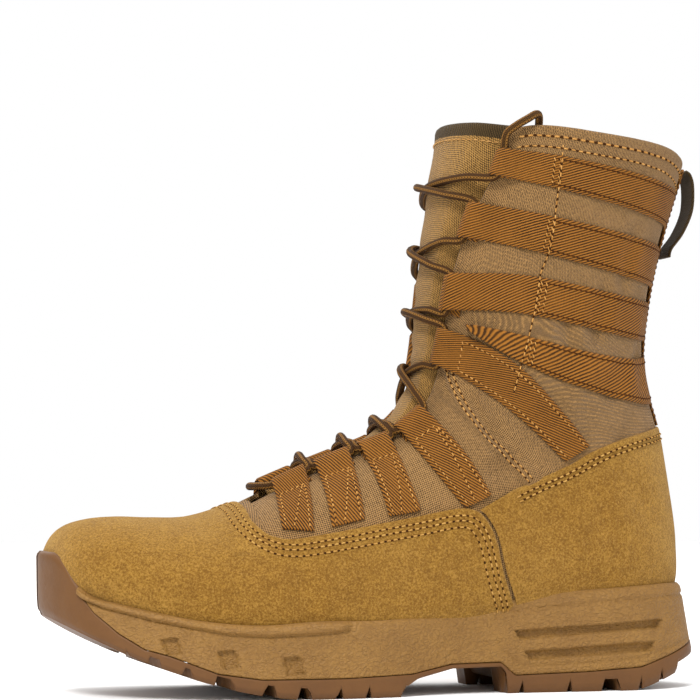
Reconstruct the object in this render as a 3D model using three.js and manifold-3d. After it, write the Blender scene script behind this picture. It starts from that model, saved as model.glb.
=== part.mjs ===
// Combat boot, left foot: an eight inch lace-up boot of suede and nylon on a rubber and foam sole.
// Frame: millimetres, +X to the toe, +Y to the lateral side, +Z up. The origin is on the floor,
// at the middle of the flat spot under the heel.
import * as THREE from "three";
import { mergeVertices } from "three/addons/utils/BufferGeometryUtils.js";
import Module from "manifold-3d";

const wasm = await Module();
wasm.setup();

// ---- driving dimensions -------------------------------------------------------------------
const BALL_WIDTH = 98; // widest part of the upper, across the ball
const WALL = 2.6; // nylon, foam and lining together
const GAP = 0.3; // clearance kept between neighbouring pieces
const SUEDE = 1.6;
const WEBBING = 1.6;
const LACE = 3.8;

const FOREFOOT_FLOOR = 19.5; // height of the inside under the ball
const HEEL_FLOOR = 34.5; // height of the inside under the heel
const BALL_X = 150;
const HEEL_CURVE_X = [-5, 128]; // the inside rises from the ball to the heel between these
const TOE_RISE = 24.5; // how far the inside has risen at TOE_RISE_X
const TOE_RISE_X = 262;
const INSOLE = 4.5;

const SPRING_X = 158; // the forefoot leaves the ground here
const TOE_X = 272.5; // tip of the bumper
const TOE_SPRING = 38; // underside of the bumper tip above the floor
const HEEL_BEVEL_X = -5;
const HEEL_BACK_X = -45.5;
const HEEL_BEVEL = 15;

const TOE_RINGS = 6; // rings of the last from the toe tip to the throat
const LEG_RINGS = 16; // and from there to the collar
const FORM_SIDES = 24; // points round a ring
const FAR = 200; // half width of the cutting prisms

// ---- small helpers ------------------------------------------------------------------------
const table = (columns, rows) =>
  rows.map((row) => Object.fromEntries(columns.map((name, i) => [name, row[i]])));
const clamp01 = (t) => Math.min(1, Math.max(0, t));
const smooth = (t) => clamp01(t) ** 2 * (3 - 2 * clamp01(t));
const mix = (a, b, t) => a + (b - a) * t;

// Straight-line interpolation in a list of [x, value] pairs, rising in x.
function along(pairs, x) {
  const i = pairs.findIndex((pair) => pair[0] >= x);
  if (i === 0) return pairs[0][1];
  if (i < 0) return pairs.at(-1)[1];
  const [a, b] = [pairs[i - 1], pairs[i]];
  return mix(a[1], b[1], (x - a[0]) / (b[0] - a[0]));
}

// Catmull-Rom value of one column at place u, counted in rows.
function columnAt(rows, name, u) {
  const i = Math.min(rows.length - 2, Math.floor(u) + 1);
  const t = u - (i - 1);
  const [p0, p1, p2, p3] = [-1, 0, 1, 2].map((k) => rows[Math.min(rows.length - 1, i + k)][name]);
  const cubic = -p0 + 3 * p1 - 3 * p2 + p3;
  const square = 2 * p0 - 5 * p1 + 4 * p2 - p3;
  return 0.5 * (2 * p1 + (p2 - p0) * t + square * t * t + cubic * t ** 3);
}

// Height of the foot bed: level under the ball, up to the heel, and up to the toe.
function floorAt(x) {
  const heel = smooth((HEEL_CURVE_X[1] - x) / (HEEL_CURVE_X[1] - HEEL_CURVE_X[0]));
  const toe = Math.max(0, (x - BALL_X) / (TOE_RISE_X - BALL_X)) ** 2.1;
  return FOREFOOT_FLOOR + (HEEL_FLOOR - FOREFOOT_FLOOR) * heel + TOE_RISE * toe;
}

// Height of the ground side of the lugs: flat at heel and ball, bevelled behind, sprung in front.
function treadAt(x) {
  const spring = Math.max(0, (x - SPRING_X) / (TOE_X - SPRING_X)) ** 1.75;
  const bevel = Math.max(0, (HEEL_BEVEL_X - x) / (HEEL_BEVEL_X - HEEL_BACK_X)) ** 1.2;
  return TOE_SPRING * spring + HEEL_BEVEL * bevel;
}

// ---- solids -------------------------------------------------------------------------------
// The closed mesh as a solid, with its faces turned outwards whichever way round it was drawn.
function toSolid(geometry) {
  const bare = geometry.clone();
  bare.deleteAttribute("normal");
  bare.deleteAttribute("uv");
  const merged = mergeVertices(bare, 1e-4);
  const triVerts = new Uint32Array(merged.index.array);
  const vertProperties = merged.attributes.position.array;
  const solidOf = () => new wasm.Manifold(new wasm.Mesh({ numProp: 3, vertProperties, triVerts }));
  const solid = solidOf();
  if (solid.volume() > 0) return solid;
  triVerts.reverse();
  return solidOf();
}

function toGeometry(solid) {
  const mesh = solid.getMesh();
  const geometry = new THREE.BufferGeometry();
  geometry.setAttribute("position", new THREE.BufferAttribute(mesh.vertProperties, 3));
  geometry.setIndex(new THREE.BufferAttribute(mesh.triVerts, 1));
  const faceted = geometry.toNonIndexed();
  faceted.computeVertexNormals();
  return faceted;
}

// A closed solid through rings of Vector3, with a middle point closing each end.
function loft(rings, first, last) {
  const sides = rings[0].length;
  const points = [...rings.flat(), first, last];
  const index = [];
  const end = rings.length * sides;
  for (let j = 0; j < sides; j++) {
    const k = (j + 1) % sides;
    index.push(end, j, k);
    index.push(end + 1, end - sides + k, end - sides + j);
    for (let i = 0; i < rings.length - 1; i++) {
      const [a, b] = [i * sides, (i + 1) * sides];
      index.push(a + j, b + j, b + k, a + j, b + k, a + k);
    }
  }
  const geometry = new THREE.BufferGeometry().setFromPoints(points);
  geometry.setIndex(index);
  return toSolid(geometry);
}

const curve2 = (pairs, steps) =>
  new THREE.SplineCurve(pairs.map((pair) => new THREE.Vector2(...pair))).getPoints(steps);
const line2 = (pairs) => pairs.map((pair) => new THREE.Vector2(...pair));

// A side view outline in x and z, pushed through from y = low to y = high.
function sidePrism(outline, low = -FAR, high = FAR) {
  const geometry = new THREE.ExtrudeGeometry(new THREE.Shape(outline), {
    depth: high - low,
    bevelEnabled: false,
  });
  geometry.rotateX(Math.PI / 2);
  geometry.translate(0, high, 0);
  return toSolid(geometry);
}

// A plan view outline in x and y, raised from z = low to z = high.
function planPrism(outline, low, high) {
  const geometry = new THREE.ExtrudeGeometry(new THREE.Shape(outline), {
    depth: high - low,
    bevelEnabled: false,
  });
  geometry.translate(0, 0, low);
  return toSolid(geometry);
}

// ---- the last: one form for the upper and all that lies on it ------------------------------
// Each section is a closed ring in a plane that holds the front point (fx, fz), the back point
// (bx, bz) and the direction of y. The planes fan out from upright at the toe to level at the
// collar. lat and med are the half widths as shares of the ball width, mid is the y of the front
// and back points, wide is where the section is widest from front to back, and nf and nb are how
// square its front and back halves are (2 is an ellipse).
const SECTION_COLUMNS = ["fx", "fz", "bx", "bz", "lat", "med", "mid", "wide", "nf", "nb"];
const onFloor = (x) => [x, floorAt(x)];
const SECTIONS = table(SECTION_COLUMNS, [
  [265.5, 47, 266.5, 69.5, -0.185, -0.185, -7, 0.5, 2, 2],
  [269.5, 58, 269.5, 58, 0, 0, -7, 0.5, 2, 2],
  [266.5, 69.5, 265.5, 47, 0.185, 0.185, -7, 0.5, 2, 2],
  [260.5, 76.2, ...onFloor(259), 0.3, 0.29, -6.5, 0.54, 2.1, 2.4],
  [250, 79.6, ...onFloor(249), 0.38, 0.37, -5.5, 0.58, 2.2, 2.9],
  [237, 80.6, ...onFloor(236), 0.43, 0.42, -4, 0.62, 2.3, 3.2],
  [222, 80.1, ...onFloor(221), 0.465, 0.455, -3, 0.65, 2.3, 3.4],
  [203, 80.6, ...onFloor(203), 0.49, 0.475, -2.5, 0.67, 2.3, 3.6],
  [183, 86.6, ...onFloor(185), 0.512, 0.475, -2, 0.68, 2.2, 3.6],
  [166, 95, ...onFloor(166), 0.52, 0.462, -1.5, 0.68, 2.15, 3.6],
  [148, 103.7, ...onFloor(143), 0.512, 0.44, -1, 0.68, 2.1, 3.5],
  [128, 112.6, ...onFloor(115), 0.485, 0.41, -1, 0.66, 2.1, 3.4],
  [112, 120.5, ...onFloor(82), 0.45, 0.385, -0.5, 0.62, 2.1, 3.3],
  [101, 131.5, ...onFloor(45), 0.425, 0.38, 0, 0.57, 2.1, 3.2],
  [94.5, 143, ...onFloor(8), 0.41, 0.385, 0, 0.52, 2.1, 3.2],
  [92, 152, ...onFloor(-20), 0.405, 0.39, 0, 0.5, 2.1, 2.9],
  [91, 160, -34, 47, 0.405, 0.395, 0, 0.48, 2.1, 2.5],
  [90.5, 168, -35.3, 67, 0.405, 0.4, 0, 0.47, 2.1, 2.3],
  [90, 177, -32.8, 90, 0.41, 0.405, 0, 0.47, 2.1, 2.25],
  [89, 188, -28.2, 119, 0.415, 0.41, 0, 0.48, 2.1, 2.2],
  [87.3, 202, -19.8, 152, 0.42, 0.415, 0, 0.48, 2.1, 2.2],
  [85, 222, -22.6, 185, 0.43, 0.425, 0, 0.48, 2.1, 2.2],
  [82, 245, -30.6, 220, 0.45, 0.445, 0, 0.49, 2.1, 2.2],
  [78.5, 271, -42, 254, 0.475, 0.47, 0, 0.5, 2.1, 2.2],
  [76, 289, -50, 276, 0.49, 0.485, 0, 0.5, 2.1, 2.2],
]);
const LAST_ROW = SECTIONS.length - 2; // the first row only steers the curve through the toe
const FIRST_RING = 0.4; // the first ring behind the toe tip
const THROAT_ROW = 7.4; // the throat starts here
const FINE = 48; // steps of each half section while its length is measured

// Point of a section at angle a from its front point, 0 to pi on one side.
function sectionPoint(s, a, side) {
  const front = a <= Math.PI / 2;
  const power = 2 / (front ? s.nf : s.nb);
  const cosine = Math.abs(Math.cos(a)) ** power;
  const share = front ? s.wide * (1 - cosine) : mix(s.wide, 1, cosine);
  const half = BALL_WIDTH * (side > 0 ? s.lat : s.med) * Math.sin(a) ** power;
  return new THREE.Vector3(mix(s.fx, s.bx, share), s.mid + side * half, mix(s.fz, s.bz, share));
}

// One section as a function of v: 0 at the front, 0.5 at the back, lateral side first, with even
// steps of length on each side.
function sectionCurve(u) {
  const s = {};
  for (const name of SECTION_COLUMNS) s[name] = columnAt(SECTIONS, name, u);
  const halves = [1, -1].map((side) => {
    const points = [];
    for (let k = 0; k <= FINE; k++) points.push(sectionPoint(s, (Math.PI * k) / FINE, side));
    return points;
  });
  const lengths = halves.map((points) => {
    const sums = [0];
    points.slice(1).forEach((p, k) => sums.push(sums[k] + p.distanceTo(points[k])));
    return sums;
  });
  const at = (v) => {
    const turn = v - Math.floor(v);
    const side = turn <= 0.5 ? 0 : 1;
    const share = side ? 2 - 2 * turn : 2 * turn;
    const sums = lengths[side];
    const want = share * sums[FINE];
    const k = Math.min(FINE, Math.max(1, sums.findIndex((sum) => sum >= want)));
    const t = (want - sums[k - 1]) / Math.max(1e-9, sums[k] - sums[k - 1]);
    return halves[side][k - 1].clone().lerp(halves[side][k], t);
  };
  return { at, length: lengths.map((sums) => sums[FINE]) };
}

const sectionCache = new Map();
function section(u) {
  const key = u.toFixed(6);
  if (!sectionCache.has(key)) sectionCache.set(key, sectionCurve(u));
  return sectionCache.get(key);
}

// Point of the last at row place u and turn v, moved out along the surface's own normal.
const STEP = 0.02;
function lastPoint(u, v, out = 0) {
  const p = section(u).at(v);
  if (!out) return p;
  const [u0, u1] = [Math.max(0.02, u - STEP), Math.min(LAST_ROW, u + STEP)];
  const du = section(u1).at(v).sub(section(u0).at(v));
  const dv = section(u).at(v + STEP / 2).sub(section(u).at(v - STEP / 2));
  return p.addScaledVector(du.cross(dv).normalize(), -out);
}

// Turn v at a distance in mm from the front line, plus to lateral.
function turnAt(u, distance) {
  const { length } = section(u);
  return distance >= 0 ? distance / length[0] / 2 : distance / length[1] / 2;
}

// The whole last, grown by out, as a closed solid.
function lastSolid(out) {
  const rings = [];
  for (let i = 0; i <= TOE_RINGS + LEG_RINGS; i++) {
    const toe = mix(FIRST_RING, THROAT_ROW, i / TOE_RINGS);
    const leg = mix(THROAT_ROW, LAST_ROW, (i - TOE_RINGS) / LEG_RINGS);
    const u = i < TOE_RINGS ? toe : leg;
    const ring = [];
    for (let j = 0; j < FORM_SIDES; j++) ring.push(lastPoint(u, j / FORM_SIDES, out));
    rings.push(ring);
  }
  const tip = section(0).at(0);
  tip.x += out;
  const top = rings.at(-1).reduce((sum, p) => sum.add(p), new THREE.Vector3());
  return loft(rings, tip, top.divideScalar(FORM_SIDES));
}

// A curved slab on the last between rows u0 and u1. reach(u) is its half width along the surface,
// and top and under give its two faces' distances from the last, at a share -1 to 1 across it.
function patch({ u0, u1, steps, sides, reach, top, under }) {
  const rings = [];
  for (let i = 0; i <= steps; i++) {
    const u = mix(u0, u1, i / steps);
    const faces = [top, under].map((face) => {
      const row = [];
      for (let j = 0; j <= sides; j++) {
        const share = mix(-1, 1, j / sides);
        row.push(lastPoint(u, turnAt(u, share * reach(u)), face(share, u)));
      }
      return row;
    });
    rings.push([...faces[0], ...faces[1].reverse()]);
  }
  return ladderLoft(rings);
}

// A closed solid through rings whose points j and n - 1 - j face each other, so that each end is
// closed by a ladder of quads.
function ladderLoft(rings) {
  const sides = rings[0].length;
  const index = [];
  for (let i = 0; i < rings.length - 1; i++) {
    for (let j = 0; j < sides; j++) {
      const [a, b, k] = [i * sides, (i + 1) * sides, (j + 1) % sides];
      index.push(a + j, b + j, b + k, a + j, b + k, a + k);
    }
  }
  const end = (rings.length - 1) * sides;
  for (let j = 0; j < sides / 2 - 1; j++) {
    const [p, q, r, s] = [j, j + 1, sides - 2 - j, sides - 1 - j];
    index.push(p, q, r, p, r, s, end + p, end + r, end + q, end + p, end + s, end + r);
  }
  const geometry = new THREE.BufferGeometry().setFromPoints(rings.flat());
  geometry.setIndex(index);
  return toSolid(geometry);
}

// ---- sole ---------------------------------------------------------------------------------
// Stations from the back of the heel to the tip of the toe: the ground outline on each side, how
// far the top edge leans in, and the height of the top edge. The first and last rows only steer.
const STATIONS = table(["x", "lat", "med", "lean", "top"], [
  [-43.5, -13, 13, 7, 50],
  [HEEL_BACK_X, 0, 0, 7, 50],
  [-43.5, 13, -13, 7, 50],
  [-37, 24.5, -24.5, 5.5, 50],
  [-24, 33, -33, 3.5, 50],
  [-5, 38, -37.5, 2, 49],
  [20, 39.2, -38.3, 2, 47.5],
  [48, 39.2, -37, 2, 45],
  [75, 41.5, -36.3, 2, 39.5],
  [98, 45.8, -38, 2, 37],
  [122, 51.5, -43, 2, 35],
  [152, 54.8, -49.5, 2, 35],
  [180, 54.2, -52.3, 2, 33.5],
  [205, 50.8, -52.3, 1.8, 35.3],
  [225, 46, -50.6, 1.5, 39],
  [243, 38.5, -46.5, 1.2, 43.2],
  [254, 31, -42, 1, 46.3],
  [260, 25, -37.5, 0.8, 52],
  [264.5, 19, -32.5, 0.5, 61],
  [268.6, 11.5, -25.5, 0.3, 65.5],
  [271.6, 2, -16, 0.2, 66.3],
  [TOE_X, -7, -7, 0.2, 66.5],
  [271.6, -16, 2, 0.2, 66.3],
]);
// Bulge of the side wall at shares of its height.
const WALL_PROFILE = table(["share", "out"], [
  [0, -1.6],
  [0.08, 0],
  [0.9, 0.6],
  [1, -0.7],
]);
const STATION_STEPS = 25;
const BLUNT = 0.2; // rows left off at each tip

const stationAt = (t) =>
  Object.fromEntries(["x", "lat", "med", "lean", "top"].map((k) => [k, columnAt(STATIONS, k, t)]));

// Outline points with their outward directions: out along lateral, back along medial.
function soleOutline() {
  const places = [];
  const last = STATIONS.length - 3;
  for (let i = 0; i <= STATION_STEPS; i++) places.push(mix(BLUNT, last - BLUNT, i / STATION_STEPS));
  const half = (column, list, turn) =>
    list.map((t) => {
      const [s, before, after] = [stationAt(t), stationAt(t - 0.05), stationAt(t + 0.05)];
      const along = new THREE.Vector2(after.x - before.x, after[column] - before[column]);
      const out = new THREE.Vector2(-along.y, along.x).multiplyScalar(turn).normalize();
      return { ...s, y: s[column], out };
    });
  return [...half("lat", places, 1), ...half("med", places, -1).reverse()];
}
const OUTLINE = soleOutline();

// The whole sole block, or the same with its top edge raised to clear what ends above it.
function soleSolid(raise = 0) {
  const rings = WALL_PROFILE.map(({ share, out }) =>
    OUTLINE.map((p) => {
      const move = out - p.lean * share;
      const x = p.x + p.out.x * move;
      return new THREE.Vector3(x, p.y + p.out.y * move, mix(treadAt(x), p.top + raise, share));
    }),
  );
  return ladderLoft(rings.reverse());
}

// Side view lines. SPLIT is where the outsole's rubber meets the midsole, and BASE is the
// underside of the rubber between the lugs.
const SPLIT = [[-80, 32], [-46, 23.5], [-27, 17], [-8, 11], [20, 9.3], [56, 8.3], [63, 14.5],
  [88, 14.2], [108, 10.3], [140, 9.2], [180, 9.2], [200, 12], [221, 20], [232, 23], [243, 30],
  [253, 39], [259.5, 48]];
const BASE = [[-80, 27], [-46, 19], [-27, 12], [-8, 6], [57.5, 5.4], [63, 12.6], [88, 12.2],
  [106, 8.2], [111, 5.2], [158, 5.2], [175, 6.6], [192, 9.2], [212, 14.4], [232, 21], [239, 22.4],
  [239.5, -10]];
const BUMPER_X = SPLIT.at(-1)[0];
const HIGH = 400;

const underSplit = sidePrism(line2([...SPLIT, [BUMPER_X, HIGH], [HIGH, HIGH], [HIGH, -50], [-80, -50]]));
const overSplit = sidePrism(
  line2([...SPLIT.map(([x, z]) => [x - GAP / 2, z + GAP]), [BUMPER_X - GAP, HIGH], [-80, HIGH]]),
);

// Lugs down the two edges: start and end along x, for lateral and medial alike.
const EDGE_LUGS = [[-31.4, -22.4], [-21.2, -10.8], [-9.4, 1.3], [9.6, 25], [27, 49], [50.5, 58],
  [111.5, 128], [130, 142], [144, 157], [162, 172.4], [177.6, 191.5], [199.4, 209.4],
  [213.2, 222.6], [227.6, 236]];
const EDGE_LUG_INNER = 21; // the edge lugs reach in to this y
const EDGE_LUG_SLANT = 4;
const MIDDLE_LUGS = [-7, 13, 33, 124, 147, 170, 193, 216];
const MIDDLE_LUG = { long: 12, wide: 17, tip: 4 };

function lugs() {
  const solids = [];
  for (const side of [1, -1]) {
    for (const [x0, x1] of EDGE_LUGS) {
      const [near, far] = [EDGE_LUG_INNER * side, 70 * side];
      const plan = [[x0, far], [x1, far], [x1 + EDGE_LUG_SLANT, near], [x0 + EDGE_LUG_SLANT, near]];
      solids.push(planPrism(line2(plan), -1, 40));
    }
  }
  const { long, wide, tip } = MIDDLE_LUG;
  for (const x of MIDDLE_LUGS) {
    const front = [[x + long, -wide], [x + long + tip, 0], [x + long, wide]];
    const plan = [[x, -wide], ...front, [x, wide], [x + tip, 0]];
    solids.push(planPrism(line2(plan), -1, 40));
  }
  return solids.reduce((sum, lug) => sum.add(lug));
}

const body = soleSolid();
const cup = lastSolid(GAP);
const base = sidePrism(line2([...BASE, [HIGH, -10], [HIGH, HIGH], [-80, HIGH]]));
const outsole = body.intersect(underSplit).intersect(base.add(lugs())).subtract(cup);
const midsole = body.intersect(overSplit).subtract(cup);

// ---- insole and upper ---------------------------------------------------------------------
const last = lastSolid(0);
const BED_X = [-60, -20, 0, 20, 40, 60, 80, 100, 120, 140, 160, 180, 200, 215, 230, 245, 258];
const bedLine = (rise) => BED_X.map((x) => [x, floorAt(x) + rise]);
const bedEnd = BED_X.at(-1);
const underBed = sidePrism(line2([...bedLine(INSOLE), [bedEnd, -50], [-60, -50]]));
const insole = last.intersect(underBed);

const hemLine = [...bedLine(INSOLE + GAP), [300, floorAt(bedEnd) + INSOLE + 12]];
const underHem = sidePrism(line2([...hemLine, [300, -50], [-60, -50]]));
const COLLAR = [[-60, 246], [-42, 252.5], [-23.6, 258.6], [13.6, 263.2], [43.7, 266.4], [61, 264],
  [100, 258]];
const overCollar = sidePrism([...curve2(COLLAR, 12), ...line2([[120, HIGH], [-80, HIGH], [-80, 246]])]);

// Half width of the throat along the surface, by row of the last.
const THROAT = [[THROAT_ROW, 13], [8, 13.5], [10, 14.5], [12, 18], [14, 18.5], [16, 21], [18, 22.5],
  [19, 24.5], [20, 29], [21, 39.5], [22, 46.5], [23, 51]];
const throatReach = (u) => along(THROAT, u);
const throat = patch({
  u0: THROAT_ROW,
  u1: LAST_ROW,
  steps: 14,
  sides: 6,
  reach: throatReach,
  top: () => 7,
  under: () => -8,
});
const shell = last
  .subtract(lastSolid(-WALL))
  .subtract(underHem)
  .subtract(overCollar)
  .subtract(throat);

// ---- tongue -------------------------------------------------------------------------------
const TONGUE_TUCK = 6; // how far it runs under each throat edge
const TONGUE_MIDDLE = 5.5;
const TONGUE_EDGE = 2.5;
const TONGUE_CLEAR = 1.6; // room left under the throat edges
const TONGUE_RISE = 1; // the middle stands proud of the throat edges
const TONGUE_TOP = 21.97;
const tuckedAt = (share, u) => {
  const reach = throatReach(u);
  const inside = Math.abs(share) * (reach + TONGUE_TUCK);
  return smooth((inside - reach * 0.45) / (reach * 0.45));
};
const tongueTop = (share, u) => mix(TONGUE_RISE, -WALL - TONGUE_CLEAR, tuckedAt(share, u));
const tongue = patch({
  u0: THROAT_ROW + 0.5,
  u1: TONGUE_TOP,
  steps: 14,
  sides: 8,
  reach: (u) => throatReach(u) + TONGUE_TUCK,
  top: tongueTop,
  under: (share, u) => tongueTop(share, u) - mix(TONGUE_MIDDLE, TONGUE_EDGE, tuckedAt(share, u)),
});

// ---- overlays -----------------------------------------------------------------------------
// Every overlay lies in this skin round the last, which ends at the top edge of the sole.
const skin = lastSolid(GAP + SUEDE)
  .subtract(cup)
  .subtract(overCollar)
  .subtract(soleSolid(2 * GAP));

// Suede edges in side view, shared by both sides.
const VAMP_TOP = [[180, 130], [180, 86], [178.5, 78], [172, 72.5], [160, 71.5], [137, 76],
  [113, 80.3], [93, 84.3], [82, 86], [74, 84], [68.5, 77], [65.3, 69], [62, 55], [56, 41]];
const HEEL_TOP = [[80, 83.5], [63, 91], [51, 97], [30, 106], [18, 112.5], [2, 118.5], [-19, 124], [-50, 131]];
const vampEdge = curve2(VAMP_TOP, 22);
const vampRegion = sidePrism([...vampEdge, ...line2([[56, 20], [320, 20], [320, 130]])]);
const moved = (points, dx, dz) => points.map((p) => new THREE.Vector2(p.x + dx, p.y + dz));
const vampReserve = sidePrism([
  ...moved(vampEdge, -GAP, GAP * 1.5),
  ...line2([[55.7, 20], [320, 20], [320, 131]]),
]);
const heelRegion = sidePrism([...curve2(HEEL_TOP, 14), ...line2([[-80, 20], [90, 20]])]);

const SIDES = { lateral: 1, medial: -1 };

// Webbing: each band lies on the last between an upper and a lower edge. An edge is three places,
// from the lace loop to the far end, each a row of the last and a distance from the front line
// on the lateral side. On the medial side the distances shrink with the length round it.
const BACK = Infinity; // the far end is at the backstay
const WEBS = table(["name", "upper", "lower", "steps"], [
  ["tier_1", [[21.5, 41], [21.55, 72], [21.55, BACK]], [[21.05, 38], [21.05, 72], [21.05, BACK]], 12],
  ["tier_2", [[20.5, 30], [20.6, 71], [20.8, BACK]], [[19.75, 26], [19.95, 70], [20.25, BACK]], 12],
  ["tier_3", [[18.85, 22], [19.5, 67], [20.05, BACK]], [[17.55, 20], [18.7, 67], [19.5, BACK]], 12],
  ["tier_4", [[17.5, 34], [18.15, 68], [19.3, BACK]], [[17.3, 36], [17.3, 68], [18.6, BACK]], 14],
  ["diagonal", [[16.9, 20], [17.12, 63], [16.3, 108]], [[14.8, 17], [15.2, 61], [15.1, 97]], 8],
  ["tab_1", [[8.95, 12], [8.8, 30], [8.65, 53]], [[8.1, 12], [7.95, 30], [7.9, 46]], 5],
  ["tab_2", [[9.95, 13], [9.85, 34], [9.75, 55]], [[9.15, 12], [9.1, 34], [9.05, 54]], 5],
  ["tab_3", [[11.1, 15], [11, 38], [10.95, 59]], [[10.2, 13], [10.25, 36], [10.25, 57]], 5],
  ["tab_4", [[12.5, 18], [12.55, 48], [12.45, 73]], [[11.4, 15], [11.6, 45], [11.8, 69]], 6],
]);
const WEB_UNDER = 1.25; // webbing lies a little off the last
const BACKSTAY_HALF = 8.5;
const BACKSTAY_ROWS = [18.35, 21.9];
const WEB_END = BACKSTAY_HALF + GAP;

// A closed band through stations, each a list of places across it from edge to edge.
function ribbon(stations) {
  const layer = (places, out) => places.map(([u, v]) => lastPoint(u, v, out));
  const rings = stations.map((places) => [
    ...layer(places, WEB_UNDER + WEBBING),
    ...layer(places, WEB_UNDER).reverse(),
  ]);
  return ladderLoft(rings);
}

function webPiece(web, side) {
  const edges = [web.upper, web.lower].map((places) => {
    const reached = places.map(([u, distance]) => {
      const [lateral, medial] = section(u).length;
      const scale = side > 0 ? 1 : medial / lateral;
      return new THREE.Vector2(u, Math.min(distance, lateral - WEB_END) * scale);
    });
    return new THREE.SplineCurve(reached);
  });
  const stations = [];
  for (let i = 0; i <= web.steps; i++) {
    const places = edges.map((edge) => edge.getPoint(i / web.steps));
    stations.push(places.map((place) => [place.x, turnAt(place.x, side * place.y)]));
  }
  return ribbon(stations);
}

function backstayPiece() {
  const stations = [];
  const steps = 8;
  for (let i = 0; i <= steps; i++) {
    const u = mix(...BACKSTAY_ROWS, i / steps);
    stations.push([-1, 0, 1].map((share) => [u, 0.5 + share * turnAt(u, BACKSTAY_HALF)]));
  }
  return ribbon(stations);
}

// ---- vent eyelets on the medial side ------------------------------------------------------
const VENTS = table(["name", "row", "distance"], [
  ["vent_eyelet_rear", 10.6, -80],
  ["vent_eyelet_front", 9.45, -79],
]);
const VENT_HOLE = 2.9;
const VENT_BARREL = 3.6;
const VENT_FLANGE = 5.75;
const VENT_PROFILE = [[VENT_HOLE, -4.2], [VENT_BARREL, -4.2], [VENT_BARREL, 0], [VENT_FLANGE, 0],
  [VENT_FLANGE - 0.9, 1], [VENT_HOLE, 0.8], [VENT_HOLE, -4.2]];
const VENT_SIDES = 12;
const SEAT = GAP + SUEDE + 0.4; // the flange sits this far out from the last

// Puts a geometry whose axis is +Y on the last, with the axis along the surface's normal.
function seat(geometry, row, distance, out) {
  const turn = turnAt(row, distance);
  const at = lastPoint(row, turn, out);
  const axis = lastPoint(row, turn, out + 1).sub(at).normalize();
  geometry.applyQuaternion(new THREE.Quaternion().setFromUnitVectors(new THREE.Vector3(0, 1, 0), axis));
  geometry.translate(at.x, at.y, at.z);
  return toSolid(geometry);
}
const ventPiece = (vent) =>
  seat(new THREE.LatheGeometry(line2(VENT_PROFILE), VENT_SIDES), vent.row, vent.distance, SEAT);
const ventHoles = VENTS.map((vent) => {
  const drill = new THREE.CylinderGeometry(VENT_BARREL + 0.4, VENT_BARREL + 0.4, 16, VENT_SIDES);
  return seat(drill, vent.row, vent.distance, 0);
}).reduce((sum, hole) => sum.add(hole));
const upper = shell.subtract(ventHoles);
const vamp = skin.intersect(vampRegion).subtract(ventHoles);
const heelQuarter = skin.intersect(heelRegion).subtract(vampReserve);

// ---- pull loop ----------------------------------------------------------------------------
const PULL_OUTER = [[-45.8, 250.5], [-47.8, 244], [-47, 232], [-42, 221], [-35.4, 213.5]];
const PULL_TAPE = 1.4;
const PULL_HALF = 8;
const pullOuter = curve2(PULL_OUTER, 12);
const pullInner = curve2(
  PULL_OUTER.map(([x, z], i) => (i % 4 ? [x + PULL_TAPE, z] : [x + 0.4, z - PULL_TAPE * (i ? -1 : 1)])),
  12,
);
const pullLoop = sidePrism([...pullOuter, ...pullInner.reverse()], -PULL_HALF, PULL_HALF);

// ---- lace ---------------------------------------------------------------------------------
// Rows of the last where each loop's upper and lower corner stands at the throat edge.
const LOOPS = table(["upper", "lower"], [
  [21.5, 21.05],
  [20.5, 19.75],
  [18.85, 17.55],
  [17, 14.8],
  [12.5, 11.4],
  [11.1, 10.2],
  [9.95, 9.15],
  [8.95, 8.1],
]);
const LACE_SIDES = 8;
const STRAND_INSET = 4.6; // the strands end this far inside the throat edge
const STRAND_LOW = 4.5; // height of the lower strand's middle over the tongue line
const STRAND_HIGH = STRAND_LOW + LACE * 0.85;
const STRAND_END = 2.4;

function tube(points, steps) {
  const round = [];
  for (let i = 0; i < LACE_SIDES; i++) {
    const a = (2 * Math.PI * i) / LACE_SIDES;
    round.push(new THREE.Vector2(Math.cos(a), Math.sin(a)).multiplyScalar(LACE / 2));
  }
  const extrudePath = new THREE.CatmullRomCurve3(points);
  return toSolid(new THREE.ExtrudeGeometry(new THREE.Shape(round), { steps, extrudePath }));
}
// Points of the last from a list of row, distance from the front line, and height.
const routed = (places) => places.map(([u, distance, out]) => lastPoint(u, turnAt(u, distance), out));

function strand(fromRow, toRow, side, middle) {
  const reachAt = (u) => throatReach(u) - STRAND_INSET;
  const places = [0, 0.25, 0.5, 0.75, 1].map((t) => {
    const u = mix(fromRow, toRow, t);
    const arch = Math.sin(Math.PI * t);
    return [u, side * (1 - 2 * t) * reachAt(u), mix(STRAND_END, middle, arch)];
  });
  return tube(routed(places), 4);
}
const crossings = LOOPS.slice(1).map((loop, k) => {
  const low = strand(LOOPS[k].lower, loop.upper, 1, STRAND_LOW);
  return low.add(strand(LOOPS[k].lower, loop.upper, -1, STRAND_HIGH));
});
const laceBar = strand(LOOPS.at(-1).lower, LOOPS.at(-1).lower, 1, STRAND_LOW - 0.6);

// The two ends leave the top loops, go over the collar and stop inside.
const LACE_END = [[21.58, 42, 5], [21.75, 45, 5.2], [21.92, 49, 5.2], [22.08, 53.5, 4.2],
  [22.2, 56.5, 1.2], [22.2, 58, -2.4], [22.02, 58.5, -5.4], [21.8, 58.5, -6], [21.55, 58.5, -6.3]];
const laceEnd = (side) => tube(routed(LACE_END.map(([u, d, out]) => [u, side * d, out])), 10);

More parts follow.
